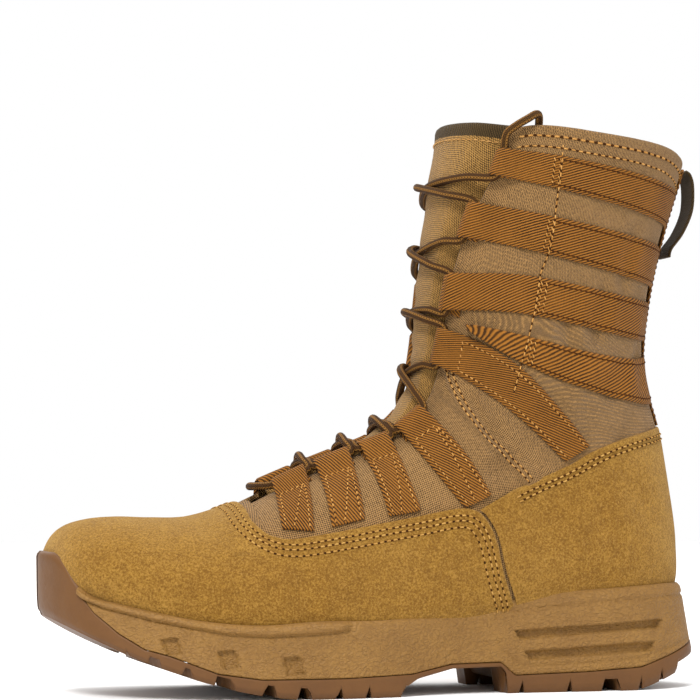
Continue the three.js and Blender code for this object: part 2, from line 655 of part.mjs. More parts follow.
// ---- assembly -----------------------------------------------------------------------------
const boot = new THREE.Group();
boot.name = "combat_boot";
function addPiece(name, solid, finish) {
  const mesh = new THREE.Mesh(toGeometry(solid), finish);
  mesh.name = name;
  boot.add(mesh);
}
const finish = (color, roughness, metalness = 0) =>
  new THREE.MeshStandardMaterial({ color, roughness, metalness });
const rubber = finish(0x8c5f3a, 0.6);
const foam = finish(0x966c3e, 0.8);
const nylon = finish(0xa58054, 0.85);
const suede = finish(0xc1903e, 0.95);
const webbing = finish(0xa56426, 0.75);
const tape = finish(0x554226, 0.8);
const cord = finish(0x5a3e1e, 0.7);
const metal = finish(0xa0927a, 0.35, 1);

addPiece("outsole", outsole, rubber);
addPiece("midsole", midsole, foam);
addPiece("insole", insole, finish(0x4b4136, 0.9));
addPiece("upper", upper, nylon);
addPiece("tongue", tongue, nylon);
addPiece("vamp", vamp, suede);
addPiece("heel_quarter", heelQuarter, suede);
addPiece("backstay", backstayPiece(), webbing);
addPiece("pull_loop", pullLoop, tape);
for (const [name, side] of Object.entries(SIDES)) {
  for (const web of WEBS) addPiece(`${name}_${web.name}`, webPiece(web, side), webbing);
}
for (const vent of VENTS) addPiece(vent.name, ventPiece(vent), metal);
crossings.forEach((crossing, k) => addPiece(`lace_crossing_${k + 1}`, crossing, cord));
addPiece("lace_bar", laceBar, cord);
addPiece("lace_end_lateral", laceEnd(1), cord);
addPiece("lace_end_medial", laceEnd(-1), cord);

export default boot;
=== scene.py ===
"""Combat boot, left foot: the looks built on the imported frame.

Lengths are in millimetres and turned into metres as each mesh is made. A place on the boot is a
row of the last and a distance along the surface from its front line, plus to the lateral side.
"""

import math

import bpy
import numpy as np
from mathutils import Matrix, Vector


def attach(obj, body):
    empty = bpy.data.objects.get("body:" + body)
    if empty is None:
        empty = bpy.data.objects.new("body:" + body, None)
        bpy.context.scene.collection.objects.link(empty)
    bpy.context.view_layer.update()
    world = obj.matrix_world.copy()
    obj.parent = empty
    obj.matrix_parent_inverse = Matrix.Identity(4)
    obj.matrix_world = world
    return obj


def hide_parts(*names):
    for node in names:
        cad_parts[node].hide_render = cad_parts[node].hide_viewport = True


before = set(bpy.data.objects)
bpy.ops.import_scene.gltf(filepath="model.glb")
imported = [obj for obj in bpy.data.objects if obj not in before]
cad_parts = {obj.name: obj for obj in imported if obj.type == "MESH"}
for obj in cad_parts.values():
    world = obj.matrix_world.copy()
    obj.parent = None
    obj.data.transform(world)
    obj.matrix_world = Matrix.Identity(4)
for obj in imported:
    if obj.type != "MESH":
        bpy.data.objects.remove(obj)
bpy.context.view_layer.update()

# ---- driving dimensions ---------------------------------------------------------------------
MM = 0.001
BALL_WIDTH = 98.0
WALL = 2.6
GAP = 0.3
SUEDE = 1.6
LACE = 3.8

# ---- camera ---------------------------------------------------------------------------------
CAMERA_PLACE = (0.4495, 1.2016, 0.0913)
CAMERA_AIM = (-0.2606, -0.9656, 0.0562)
CAMERA_LENS = 134.5
camera = bpy.data.objects.new("camera", bpy.data.cameras.new("camera"))
bpy.context.scene.collection.objects.link(camera)
camera.location = CAMERA_PLACE
camera.rotation_mode = "QUATERNION"
camera.rotation_quaternion = Vector(CAMERA_AIM).to_track_quat("-Z", "Y")
camera.data.sensor_width = 36
camera.data.lens = CAMERA_LENS
bpy.context.scene.camera = camera

# ---- the last -------------------------------------------------------------------------------
# The same fan of sections as the CAD form: front point, back point, half widths as shares of the
# ball width, the middle's y, where it is widest, and how square its front and back halves are.


def smooth(t):
    t = np.clip(t, 0, 1)
    return t * t * (3 - 2 * t)


def mix(a, b, t):
    return a + (b - a) * t


def floor_at(x):
    """Height of the foot bed."""
    x = np.asarray(x, float)
    toe = np.maximum(0, (x - 150) / 112) ** 2.1
    return 19.5 + 15 * smooth((128 - x) / 133) + 24.5 * toe


SECTIONS = np.array([
    [265.5, 47, 266.5, 69.5, -0.185, -0.185, -7, 0.5, 2, 2],
    [269.5, 58, 269.5, 58, 0, 0, -7, 0.5, 2, 2],
    [266.5, 69.5, 265.5, 47, 0.185, 0.185, -7, 0.5, 2, 2],
    [260.5, 76.2, 259, 0, 0.3, 0.29, -6.5, 0.54, 2.1, 2.4],
    [250, 79.6, 249, 0, 0.38, 0.37, -5.5, 0.58, 2.2, 2.9],
    [237, 80.6, 236, 0, 0.43, 0.42, -4, 0.62, 2.3, 3.2],
    [222, 80.1, 221, 0, 0.465, 0.455, -3, 0.65, 2.3, 3.4],
    [203, 80.6, 203, 0, 0.49, 0.475, -2.5, 0.67, 2.3, 3.6],
    [183, 86.6, 185, 0, 0.512, 0.475, -2, 0.68, 2.2, 3.6],
    [166, 95, 166, 0, 0.52, 0.462, -1.5, 0.68, 2.15, 3.6],
    [148, 103.7, 143, 0, 0.512, 0.44, -1, 0.68, 2.1, 3.5],
    [128, 112.6, 115, 0, 0.485, 0.41, -1, 0.66, 2.1, 3.4],
    [112, 120.5, 82, 0, 0.45, 0.385, -0.5, 0.62, 2.1, 3.3],
    [101, 131.5, 45, 0, 0.425, 0.38, 0, 0.57, 2.1, 3.2],
    [94.5, 143, 8, 0, 0.41, 0.385, 0, 0.52, 2.1, 3.2],
    [92, 152, -20, 0, 0.405, 0.39, 0, 0.5, 2.1, 2.9],
    [91, 160, -34, 47, 0.405, 0.395, 0, 0.48, 2.1, 2.5],
    [90.5, 168, -35.3, 67, 0.405, 0.4, 0, 0.47, 2.1, 2.3],
    [90, 177, -32.8, 90, 0.41, 0.405, 0, 0.47, 2.1, 2.25],
    [89, 188, -28.2, 119, 0.415, 0.41, 0, 0.48, 2.1, 2.2],
    [87.3, 202, -19.8, 152, 0.42, 0.415, 0, 0.48, 2.1, 2.2],
    [85, 222, -22.6, 185, 0.43, 0.425, 0, 0.48, 2.1, 2.2],
    [82, 245, -30.6, 220, 0.45, 0.445, 0, 0.49, 2.1, 2.2],
    [78.5, 271, -42, 254, 0.475, 0.47, 0, 0.5, 2.1, 2.2],
    [76, 289, -50, 276, 0.49, 0.485, 0, 0.5, 2.1, 2.2],
])
FX, FZ, BX, BZ, LAT, MED, MID, WIDE, NF, NB = range(10)
for row in range(3, 16):
    SECTIONS[row, BZ] = floor_at(SECTIONS[row, BX])
LAST_ROW = len(SECTIONS) - 2
THROAT_ROW = 7.4


def catmull(rows, t):
    """Catmull-Rom values of a table at places t, counted in rows."""
    rows = np.asarray(rows, float)
    t = np.asarray(t, float)
    i = np.clip(np.floor(t).astype(int), 0, len(rows) - 2)
    f = (t - i)[..., None]
    p = [rows[np.clip(i + k, 0, len(rows) - 1)] for k in (-1, 0, 1, 2)]
    cubic = -p[0] + 3 * p[1] - 3 * p[2] + p[3]
    square = 2 * p[0] - 5 * p[1] + 4 * p[2] - p[3]
    return 0.5 * (2 * p[1] + (p[2] - p[0]) * f + square * f**2 + cubic * f**3)


def curve(points, count):
    """count places along a Catmull-Rom curve through points, by even steps of its parameter."""
    return catmull(points, np.linspace(0, len(points) - 1, count))


def run_along(points):
    """Length from the start of a polyline to each of its points."""
    return np.concatenate([[0], np.cumsum(np.linalg.norm(np.diff(points, axis=0), axis=1))])


def whole_length(points):
    return np.linalg.norm(np.diff(points, axis=0), axis=1).sum()


def resample(points, count):
    """count places by even length along a dense polyline."""
    points = np.asarray(points, float)
    sums = run_along(points)
    at = np.linspace(0, sums[-1], count)
    return np.stack([np.interp(at, sums, points[:, k]) for k in range(points.shape[1])], 1)


def ring_point(s, a, side):
    """Point of a section at angle a, from its front to its back, on one side."""
    front = a <= math.pi / 2
    power = 2 / np.where(front, s[..., NF], s[..., NB])
    cosine = np.abs(np.cos(a)) ** power
    wide = s[..., WIDE]
    share = np.where(front, wide * (1 - cosine), wide + (1 - wide) * cosine)
    half = BALL_WIDTH * np.where(side > 0, s[..., LAT], s[..., MED])
    y = s[..., MID] + side * half * np.abs(np.sin(a)) ** power
    x = s[..., FX] + (s[..., BX] - s[..., FX]) * share
    z = s[..., FZ] + (s[..., BZ] - s[..., FZ]) * share
    return np.stack([x, y, z], -1)


STEPS_PER_ROW = 20
ROW_STEPS = LAST_ROW * STEPS_PER_ROW
SHARE_STEPS = 128
ANGLE = np.zeros((2, ROW_STEPS + 1, SHARE_STEPS + 1))
LENGTH = np.zeros((2, ROW_STEPS + 1))


def measure_last():
    """Length of each half section, and the angle at every share of that length."""
    rows = catmull(SECTIONS, np.linspace(0, LAST_ROW, ROW_STEPS + 1) + 1)
    angles = np.linspace(0, math.pi, 321)
    for k, side in enumerate((1, -1)):
        points = ring_point(rows[:, None, :], angles[None, :], side)
        steps = np.linalg.norm(np.diff(points, axis=1), axis=2)
        sums = np.concatenate([np.zeros((len(rows), 1)), np.cumsum(steps, axis=1)], 1)
        LENGTH[k] = sums[:, -1]
        for i in range(len(rows)):
            share = sums[i] / max(1e-9, sums[i, -1])
            ANGLE[k, i] = np.interp(np.linspace(0, 1, SHARE_STEPS + 1), share, angles)


measure_last()


def on_last(u, v):
    """Point of the last at row u and turn v, 0 at the front and 0.5 at the back."""
    u, v = np.broadcast_arrays(np.asarray(u, float), np.asarray(v, float))
    turn = v - np.floor(v)
    k = (turn > 0.5).astype(int)
    share = np.where(k == 1, 2 - 2 * turn, 2 * turn)
    fu, fs = np.clip(u, 0, LAST_ROW) * STEPS_PER_ROW, np.clip(share, 0, 1) * SHARE_STEPS
    i = np.clip(fu.astype(int), 0, ROW_STEPS - 1)
    j = np.clip(fs.astype(int), 0, SHARE_STEPS - 1)
    f, g = fu - i, fs - j
    near = ANGLE[k, i, j] * (1 - g) + ANGLE[k, i, j + 1] * g
    far = ANGLE[k, i + 1, j] * (1 - g) + ANGLE[k, i + 1, j + 1] * g
    return ring_point(catmull(SECTIONS, u + 1), near * (1 - f) + far * f, 1 - 2 * k)


def tangents(u, v):
    """Change of place per row and per turn."""
    low, high = np.maximum(u - 0.03, 0.02), np.minimum(u + 0.03, LAST_ROW)
    du = (on_last(high, v) - on_last(low, v)) / (high - low)[..., None]
    dv = (on_last(u, v + 0.004) - on_last(u, v - 0.004)) / 0.008
    return du, dv


def unit(vectors):
    return vectors / np.maximum(1e-12, np.linalg.norm(vectors, axis=-1, keepdims=True))


def normal_at(u, v):
    du, dv = tangents(u, v)
    return -unit(np.cross(du, dv))


def half_length(u, side):
    return np.interp(u, np.linspace(0, LAST_ROW, ROW_STEPS + 1), LENGTH[0 if side > 0 else 1])


def turn_at(u, distance):
    u, distance = np.broadcast_arrays(np.asarray(u, float), np.asarray(distance, float))
    half = np.where(distance >= 0, half_length(u, 1), half_length(u, -1))
    return distance / half / 2


def place(u, distance, out=0.0):
    """Point at a row and a distance from the front line, that far out from the last."""
    u, distance = np.broadcast_arrays(np.asarray(u, float), np.asarray(distance, float))
    v = turn_at(u, distance)
    return on_last(u, v) + normal_at(u, v) * np.asarray(out, float)[..., None]


# ---- meshes ---------------------------------------------------------------------------------
def make_mesh(name, points, faces, material, uv=None, face_material=None, smooth_faces=True):
    """A piece in millimetres: points, faces of 3 or 4 corners, and uv in millimetres per point."""
    mesh = bpy.data.meshes.new(name)
    mesh.from_pydata((np.asarray(points, float) * MM).tolist(), [], [list(map(int, f)) for f in faces])
    materials = material if isinstance(material, (list, tuple)) else [material]
    for m in materials:
        mesh.materials.append(m)
    if face_material is not None:
        mesh.polygons.foreach_set("material_index", np.asarray(face_material, np.int32))
    mesh.polygons.foreach_set("use_smooth", np.full(len(mesh.polygons), smooth_faces))
    if uv is not None:
        layer = mesh.uv_layers.new(name="cloth")
        corner = np.zeros(len(mesh.loops), np.int32)
        mesh.loops.foreach_get("vertex_index", corner)
        layer.data.foreach_set("uv", np.asarray(uv, np.float32)[corner].ravel())
    mesh.update()
    piece = bpy.data.objects.new(name, mesh)
    bpy.context.scene.collection.objects.link(piece)
    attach(piece, "root")
    return piece


def grid_faces(rows, columns, wrap=False, start=0):
    i, j = np.meshgrid(np.arange(rows - 1), np.arange(columns if wrap else columns - 1), indexing="ij")
    k = (j + 1) % columns
    a, b, c, d = i * columns + j, i * columns + k, (i + 1) * columns + k, (i + 1) * columns + j
    return np.stack([a, b, c, d], -1).reshape(-1, 4) + start


def lengths_along(grid, axis):
    steps = np.linalg.norm(np.diff(grid, axis=axis), axis=2)
    zero = np.zeros_like(np.take(steps, [0], axis=axis))
    return np.concatenate([zero, np.cumsum(steps, axis=axis)], axis=axis)


def grid_uv(grid):
    """Millimetres across and along a grid of points, measured on its middle row and column."""
    across, along = lengths_along(grid, 1), lengths_along(grid, 0)
    across = across - across[:, [grid.shape[1] // 2]]
    return np.stack([across, along], -1).reshape(-1, 2)


def grid_normals(grid):
    du = np.gradient(grid, axis=0)
    dv = np.gradient(grid, axis=1)
    return unit(np.cross(du, dv))


class Parts:
    """Collects grids and loose solids into one mesh."""

    def __init__(self):
        self.points, self.faces, self.uv, self.index = [], [], [], []
        self.count = 0

    def add(self, points, faces, uv=None, material=0):
        points = np.asarray(points, float).reshape(-1, 3)
        self.points.append(points)
        self.faces.extend((np.asarray(faces) + self.count).tolist())
        self.uv.append(np.zeros((len(points), 2)) if uv is None else np.asarray(uv).reshape(-1, 2))
        material = np.broadcast_to(np.asarray(material, np.int32), (len(faces),))
        self.index.append(material)
        self.count += len(points)

    def grid(self, grid, material=0, wrap=False, flip=False, uv=None):
        faces = grid_faces(grid.shape[0], grid.shape[1], wrap)
        if flip:
            faces = faces[:, ::-1]
        self.add(grid, faces, grid_uv(grid) if uv is None else uv, material)

    def piece(self, name, materials):
        return make_mesh(
            name,
            np.concatenate(self.points),
            self.faces,
            materials,
            np.concatenate(self.uv),
            np.concatenate(self.index),
        )


def slab(parts, middle, thick, corner=0.5, material=0):
    """A band of even thickness round a grid of middle points, with rounded long edges."""
    rows, columns = middle.shape[:2]
    normals = grid_normals(middle)
    width = lengths_along(middle, 1)
    edge = np.minimum(width, width[:, -1:] - width)
    round_off = np.sqrt(np.clip(1 - (1 - np.clip(edge / corner, 0, 1)) ** 2, 0, 1))
    half = (thick / 2) * np.maximum(round_off, 0.12)[..., None]
    top, under = middle + normals * half, middle - normals * half
    ring = np.concatenate([top, under[:, ::-1]], axis=1)
    along = lengths_along(middle, 0)
    uv_half = np.stack([width - width[:, -1:] / 2, along], -1)
    uv = np.concatenate([uv_half, uv_half[:, ::-1]], axis=1)
    faces = grid_faces(rows, 2 * columns, True)
    ends = []
    for start in (0, (rows - 1) * 2 * columns):
        for j in range(columns - 1):
            ends.append([start + j, start + j + 1, start + 2 * columns - 2 - j, start + 2 * columns - 1 - j])
    ends = np.asarray(ends)
    ends[: columns - 1] = ends[: columns - 1, ::-1]
    parts.add(ring, np.concatenate([faces, ends]), uv, material)


def tube(parts, line, radius, sides=10, material=0):
    """A round cord along a dense line of points."""
    line = np.asarray(line, float)
    tangent = unit(np.gradient(line, axis=0))
    side = np.zeros_like(line)
    first = np.cross(tangent[0], [0.3, 0.2, 1.0])
    side[0] = first / np.linalg.norm(first)
    for i in range(1, len(line)):
        s = side[i - 1] - tangent[i] * np.dot(side[i - 1], tangent[i])
        side[i] = s / np.linalg.norm(s)
    other = np.cross(tangent, side)
    a = np.linspace(0, 2 * math.pi, sides, endpoint=False)
    radius = np.broadcast_to(np.asarray(radius, float), (len(line),))
    ring = side[:, None] * np.cos(a)[None, :, None] + other[:, None] * np.sin(a)[None, :, None]
    grid = line[:, None] + ring * radius[:, None, None]
    along = run_along(line)
    uv = np.stack(np.broadcast_arrays(np.cos(a)[None] * 0 + a[None] * LACE / 2, along[:, None]), -1)
    count = len(line) * sides
    faces = grid_faces(len(line), sides, True)[:, ::-1]
    caps = [[count, (j + 1) % sides, j, j] for j in range(sides)]
    caps += [[count + 1, count - sides + j, count - sides + (j + 1) % sides, count - sides + (j + 1) % sides]
             for j in range(sides)]
    points = np.concatenate([grid.reshape(-1, 3), line[:1], line[-1:]])
    uv = np.concatenate([uv.reshape(-1, 2), [[0, 0], [0, along[-1]]]])
    start = parts.count
    parts.add(points, faces, uv, material)
    for cap in caps:
        parts.faces.append([start + k for k in cap[:3]])
    parts.index.append(np.full(len(caps), material, np.int32))


# ---- stitches -------------------------------------------------------------------------------
STITCH_SIDES = 5


def stitch_row(parts, line, normals, long=2.9, pitch=3.7, thick=0.75, lift=0.15, slant=0.0, material=0,
               phase=0.0, hole=None):
    """Sewn stitches along a line that lies on a surface: each a short thread that dives in at its ends.
    A hole material adds a dark mark between every two stitches, painted shade for the needle hole."""
    # Painted shade: the hole rows are dark marks for the shadow in each needle hole.
    if hole is not None:
        stitch_row(parts, line, normals, (pitch - long) + 0.7, pitch, thick * 1.25, -0.18, 0.0, hole, 0.5)
    line = np.asarray(line, float)
    sums = run_along(line)
    count = int(sums[-1] / pitch)
    if count < 1:
        return
    centre = (np.arange(count) + 0.5 + phase) * (sums[-1] / count)

    def at(d, source):
        return np.stack([np.interp(d, sums, source[:, k]) for k in range(3)], -1)

    shares = np.array([-1.0, -0.8, -0.35, 0.35, 0.8, 1.0])
    rise = np.array([-1.1, -0.1, 0.45, 0.45, -0.1, -1.1]) * thick / 2 + lift
    swell = np.array([0.45, 0.85, 1.0, 1.0, 0.85, 0.45]) * thick / 2
    d = centre[:, None] + shares[None] * long / 2
    spine = at(np.clip(d, 0, sums[-1]), line)
    up = unit(at(np.clip(d, 0, sums[-1]), np.asarray(normals, float)))
    along = unit(spine[:, -1] - spine[:, 0])[:, None]
    across = unit(np.cross(up, along))
    spine = spine + up * rise[None, :, None] + across * (slant * shares * long / 2)[None, :, None]
    a = np.linspace(0, 2 * math.pi, STITCH_SIDES, endpoint=False)
    turn = a[None, None, :, None]
    ring = across[:, :, None] * np.cos(turn) + up[:, :, None] * np.sin(turn)
    points = spine[:, :, None] + ring * swell[None, :, None, None]
    one = grid_faces(len(shares), STITCH_SIDES, True)
    step = len(shares) * STITCH_SIDES
    faces = (one[None] + (np.arange(count) * step)[:, None, None]).reshape(-1, 4)
    parts.add(points, faces[:, ::-1], None, material)


def even_places(places, spacing=1.0):
    """Rows and distances spaced evenly along a line of them."""
    sums = run_along(place(places[:, 0], places[:, 1]))
    at = np.arange(0, sums[-1], spacing)
    return np.stack([np.interp(at, sums, places[:, 0]), np.interp(at, sums, places[:, 1])], 1)


def surface_line(route):
    """A route of [row, distance] places turned into dense rows and distances."""
    return even_places(curve(np.asarray(route, float), 40 * len(route)))


def sew_at(parts, u, distance, out, **style):
    """A row of stitches along rows and distances, that far out from the last."""
    line = place(u, distance, out)
    stitch_row(parts, line, normal_at(u, turn_at(u, distance)), **style)


def offset_places(places, inward):
    """Rows and distances moved sideways along the surface by inward mm, to the line's left."""
    u, distance = places[:, 0], places[:, 1]
    v = turn_at(u, distance)
    du, dv = tangents(u, v)
    points = on_last(u, v)
    along = unit(np.gradient(points, axis=0))
    normal = -unit(np.cross(du, dv))
    left = np.cross(normal, along) * inward
    guu, guv, gvv = (du * du).sum(1), (du * dv).sum(1), (dv * dv).sum(1)
    bu, bv = (du * left).sum(1), (dv * left).sum(1)
    det = guu * gvv - guv**2
    move_u = (gvv * bu - guv * bv) / det
    move_v = (guu * bv - guv * bu) / det
    new_u = u + move_u
    turn = v + move_v
    turn = np.where(turn > 0.5, turn - 1, turn) if distance.mean() < 0 else turn
    half = np.where(distance >= 0, half_length(new_u, 1), half_length(new_u, -1))
    return np.stack([new_u, turn * half * 2], 1)


# ---- creases and padding --------------------------------------------------------------------
# Soft troughs (minus) and ridges (plus) in the cloth: route of row and distance, depth and
# half width in millimetres. The medial side gets the same set, moved a little.
CREASES = [
    ([[19.9, 104], [19.3, 100], [18.75, 103]], -1.1, 4.0),
    ([[20.9, 118], [20.35, 112], [19.7, 116]], -0.8, 3.5),
    ([[19.2, 84], [18.6, 86], [18.1, 90]], -0.9, 4.0),
    ([[18.9, 122], [18.3, 116], [17.7, 112]], -1.1, 4.5),
    ([[18.5, 104], [18.0, 98], [17.4, 96]], 0.9, 4.5),
    ([[17.2, 84], [16.5, 86], [15.8, 84]], -1.0, 5.0),
    ([[17.0, 44], [16.2, 48], [15.3, 47]], -0.8, 4.5),
    ([[14.6, 40], [13.9, 52], [13.6, 66]], -1.6, 4.0),
    ([[14.1, 74], [13.3, 70], [12.6, 66]], -1.0, 4.0),
    ([[20.2, 52], [19.9, 60], [19.85, 68]], -0.7, 3.5),
    ([[21.0, 88], [20.9, 98], [20.95, 108]], -0.6, 4.0),
    ([[21.9, 84], [21.75, 100], [21.8, 118]], 0.6, 5.0),
    ([[22.0, 60], [21.8, 64], [21.6, 62]], -0.6, 4.0),
    ([[17.9, 134], [17.4, 128], [16.9, 124]], -0.9, 4.5),
    ([[19.6, 140], [19.0, 134], [18.4, 138]], -0.8, 4.5),
]
CREASE_SCALE = 1.5
SUEDE_CREASES = [
    ([[5.3, 36], [5.5, 54], [5.6, 74]], -0.55, 5.0),
    ([[6.4, 28], [6.7, 48], [6.9, 68]], -0.6, 5.5),
    ([[8.3, 66], [8.4, 80], [8.3, 94]], -0.45, 6.0),
    ([[4.6, 8], [4.5, 26], [4.4, 44]], -0.3, 6.0),
    ([[15.2, 112], [14.7, 124], [14.4, 140]], -0.5, 7.0),
    ([[16.6, 132], [16.0, 142], [15.6, 156]], -0.45, 7.0),
]


def crease_lines(table):
    """Both sides' crease routes as points, with depth and half width."""
    lines = []
    for route, depth, width in table:
        for side in (1, -1):
            shift = 0 if side > 0 else 0.12
            dense = curve(np.asarray(route, float), 9)
            lines.append((place(dense[:, 0] + shift, side * dense[:, 1]), depth, width))
    return lines


CLOTH_LINES = crease_lines(CREASES)
LEATHER_LINES = crease_lines(SUEDE_CREASES)


def crease_depth(points, lines):
    """Sum of the creases' heights at each point."""
    flat = points.reshape(-1, 3)
    total = np.zeros(len(flat))
    for line, depth, width in lines:
        low, high = line.min(0) - 3 * width, line.max(0) + 3 * width
        near = np.all((flat > low) & (flat < high), axis=1)
        if not near.any():
            continue
        p = flat[near]
        best, where = np.full(len(p), 1e9), np.zeros(len(p))
        for k in range(len(line) - 1):
            a, b = line[k], line[k + 1]
            ab = b - a
            t = np.clip(((p - a) @ ab) / (ab @ ab), 0, 1)
            d = np.linalg.norm(p - a - t[:, None] * ab, axis=1)
            closer = d < best
            best = np.where(closer, d, best)
            where = np.where(closer, (k + t) / (len(line) - 1), where)
        taper = np.sin(math.pi * np.clip(where, 0, 1)) ** 0.6
        wave = np.exp(-((best / width) ** 2)) - 0.45 * np.exp(-(((best - 1.9 * width) / width) ** 2))
        total[near] += depth * wave * taper
    return total.reshape(points.shape[:-1])


def ripple(points, seed, size, depth):
    """A small smooth unevenness, the same on every run."""
    rng = np.random.default_rng(seed)
    total = np.zeros(points.shape[:-1])
    for _ in range(7):
        direction = unit(rng.normal(size=3))
        phase = rng.uniform(0, 2 * math.pi)
        scale = size * rng.uniform(0.7, 1.6)
        total += np.sin((points @ direction) * 2 * math.pi / scale + phase)
    return total * depth / 3.5


# Rows and distances where the shaft's cloth laps over the instep's, at the ankle.
LAP = [[14.75, 21], [13.95, 28], [13.45, 37], [13.25, 52], [13.3, 66], [13.35, 84]]
LAP_RISE = 1.3


def lap_height(u, distance):
    """The shaft's cloth stands over the instep's by this much."""
    edge = np.interp(np.abs(distance), [p[1] for p in LAP], [p[0] for p in LAP])
    over = np.clip((u - edge) / 0.035, 0, 1)
    fade = 1 - smooth((u - edge) / 2.2)
    return LAP_RISE * over * fade


def relief(u, distance):
    """How far the cloth stands off the last at a place."""
    u, distance = np.broadcast_arrays(np.asarray(u, float), np.asarray(distance, float))
    points = on_last(u, turn_at(u, distance))
    swell = ripple(points, 3, 46, 0.35)
    return CREASE_SCALE * crease_depth(points, CLOTH_LINES) + swell + lap_height(u, distance)


def suede_relief(points):
    return crease_depth(points, LEATHER_LINES) + ripple(points, 9, 60, 0.3)


# ---- lines of the pieces --------------------------------------------------------------------
# Collar, vamp and heel panel are side view lines. The throat is rows and distances.
COLLAR = np.array([[-60, 246], [-42, 252.5], [-23.6, 258.6], [13.6, 263.2], [43.7, 266.4], [61, 264],
                   [100, 258]], float)
THROAT = np.array([[7.4, 13], [8, 13.5], [10, 14.5], [12, 18], [14, 18.5], [16, 21], [18, 22.5],
                   [19, 24.5], [20, 29], [21, 39.5], [22, 46.5], [23, 51]])
VAMP_TOP = np.array([[180, 130], [180, 86], [178.5, 78], [172, 72.5], [160, 71.5], [137, 76], [113, 80.3],
                     [93, 84.3], [82, 86], [74, 84], [68.5, 77], [65.3, 69], [62, 55], [56, 41]], float)
HEEL_TOP = np.array([[80, 83.5], [63, 91], [51, 97], [30, 106], [18, 112.5], [2, 118.5], [-19, 124],
                     [-50, 131]], float)
collar_line = curve(COLLAR, 200)
vamp_line = curve(VAMP_TOP, 400)
heel_line = curve(HEEL_TOP, 200)


def throat_reach(u):
    """Distance from the front line to the throat's edge."""
    return np.interp(u, THROAT[:, 0], THROAT[:, 1])


def inside(outline, x, z):
    """Whether side view points lie in a closed outline."""
    shape = np.broadcast(x, z).shape
    x, z = np.broadcast_to(x, shape), np.broadcast_to(z, shape)
    result = np.zeros(shape, bool)
    for a, b in zip(outline, np.roll(outline, -1, axis=0)):
        if a[1] == b[1]:
            continue
        cross = (a[1] > z) != (b[1] > z)
        result ^= cross & (x < (b[0] - a[0]) * (z - a[1]) / (b[1] - a[1]) + a[0])
    return result


def collar_row(columns, count, turn_at_row=None):
    """The row where each column of turns reaches the collar's line."""
    rows = np.linspace(20, LAST_ROW, count)
    top = np.zeros(len(columns))
    for k, column in enumerate(columns):
        p = on_last(rows, turn_at_row(rows, column) if turn_at_row else column)
        over = p[:, 2] > np.interp(p[:, 0], collar_line[:, 0], collar_line[:, 1])
        top[k] = rows[np.argmax(over)] if over.any() else LAST_ROW
    return top


# ---- materials ------------------------------------------------------------------------------
def srgb(r, g, b):
    """Linear colour of a 0 to 255 screen colour."""
    linear = [c / 255 / 12.92 if c <= 10 else ((c / 255 + 0.055) / 1.055) ** 2.4 for c in (r, g, b)]
    return (*linear, 1.0)


class Shader:
    """A node material with short calls for the nodes used here. Object coordinates are in metres."""

    def __init__(self, name, roughness=0.8, specular=0.25, metallic=0.0, sheen=0.0):
        self.material = bpy.data.materials.new(name)
        self.material.use_nodes = True
        self.nodes, self.links = self.material.node_tree.nodes, self.material.node_tree.links
        self.bsdf = self.nodes["Principled BSDF"]
        self.bsdf.inputs["Roughness"].default_value = roughness
        self.bsdf.inputs["Specular IOR Level"].default_value = specular
        self.bsdf.inputs["Metallic"].default_value = metallic
        self.bsdf.inputs["Sheen Weight"].default_value = sheen
        self.bsdf.inputs["Sheen Roughness"].default_value = 0.5
        self.object = self.nodes.new("ShaderNodeTexCoord").outputs["Object"]

    def plug(self, socket, value):
        if isinstance(value, bpy.types.NodeSocket):
            self.links.new(value, socket)
        else:
            socket.default_value = value

    def math(self, operation, a, b=0.0, clamp=False):
        node = self.nodes.new("ShaderNodeMath")
        node.operation, node.use_clamp = operation, clamp
        self.plug(node.inputs[0], a)
        self.plug(node.inputs[1], b)
        return node.outputs[0]

    def noise(self, size, detail=3.0, rough=0.6, stretch=(1, 1, 1)):
        """Cloudy noise whose lumps are about size mm."""
        mapping = self.nodes.new("ShaderNodeMapping")
        mapping.inputs["Scale"].default_value = stretch
        self.links.new(self.object, mapping.inputs["Vector"])
        node = self.nodes.new("ShaderNodeTexNoise")
        node.inputs["Scale"].default_value = 1000 / size
        node.inputs["Detail"].default_value = detail
        node.inputs["Roughness"].default_value = rough
        self.links.new(mapping.outputs[0], node.inputs["Vector"])
        return node.outputs["Fac"]

    def cloth(self):
        """Across and along, in millimetres."""
        uv = self.nodes.new("ShaderNodeUVMap")
        uv.uv_map = "cloth"
        split = self.nodes.new("ShaderNodeSeparateXYZ")
        self.links.new(uv.outputs[0], split.inputs[0])
        return split.outputs[0], split.outputs[1]

    def wave(self, value, period):
        """0 to 1 and back over each period."""
        turn = self.math("MULTIPLY", value, 2 * math.pi / period)
        return self.math("MULTIPLY_ADD", self.math("SINE", turn), 0.5)

    def ramp(self, value, low, high):
        node = self.nodes.new("ShaderNodeMapRange")
        self.plug(node.inputs["Value"], value)
        node.inputs["From Min"].default_value, node.inputs["From Max"].default_value = low, high
        return node.outputs["Result"]

    def mix(self, factor, a, b):
        node = self.nodes.new("ShaderNodeMix")
        node.data_type = "RGBA"
        self.plug(node.inputs[0], factor)
        self.plug(node.inputs[6], a)
        self.plug(node.inputs[7], b)
        return node.outputs[2]

    def bump(self, height, depth, normal=None):
        """Bump of depth mm for a height of 0 to 1."""
        node = self.nodes.new("ShaderNodeBump")
        node.inputs["Strength"].default_value = 1.0
        node.inputs["Distance"].default_value = depth * MM
        self.plug(node.inputs["Height"], height)
        if normal is not None:
            self.links.new(normal, node.inputs["Normal"])
        return node.outputs[0]

    def done(self, colour, normal=None, roughness=None):
        self.plug(self.bsdf.inputs["Base Color"], colour)
        if normal is not None:
            self.links.new(normal, self.bsdf.inputs["Normal"])
        if roughness is not None:
            self.links.new(roughness, self.bsdf.inputs["Roughness"])
        return self.material


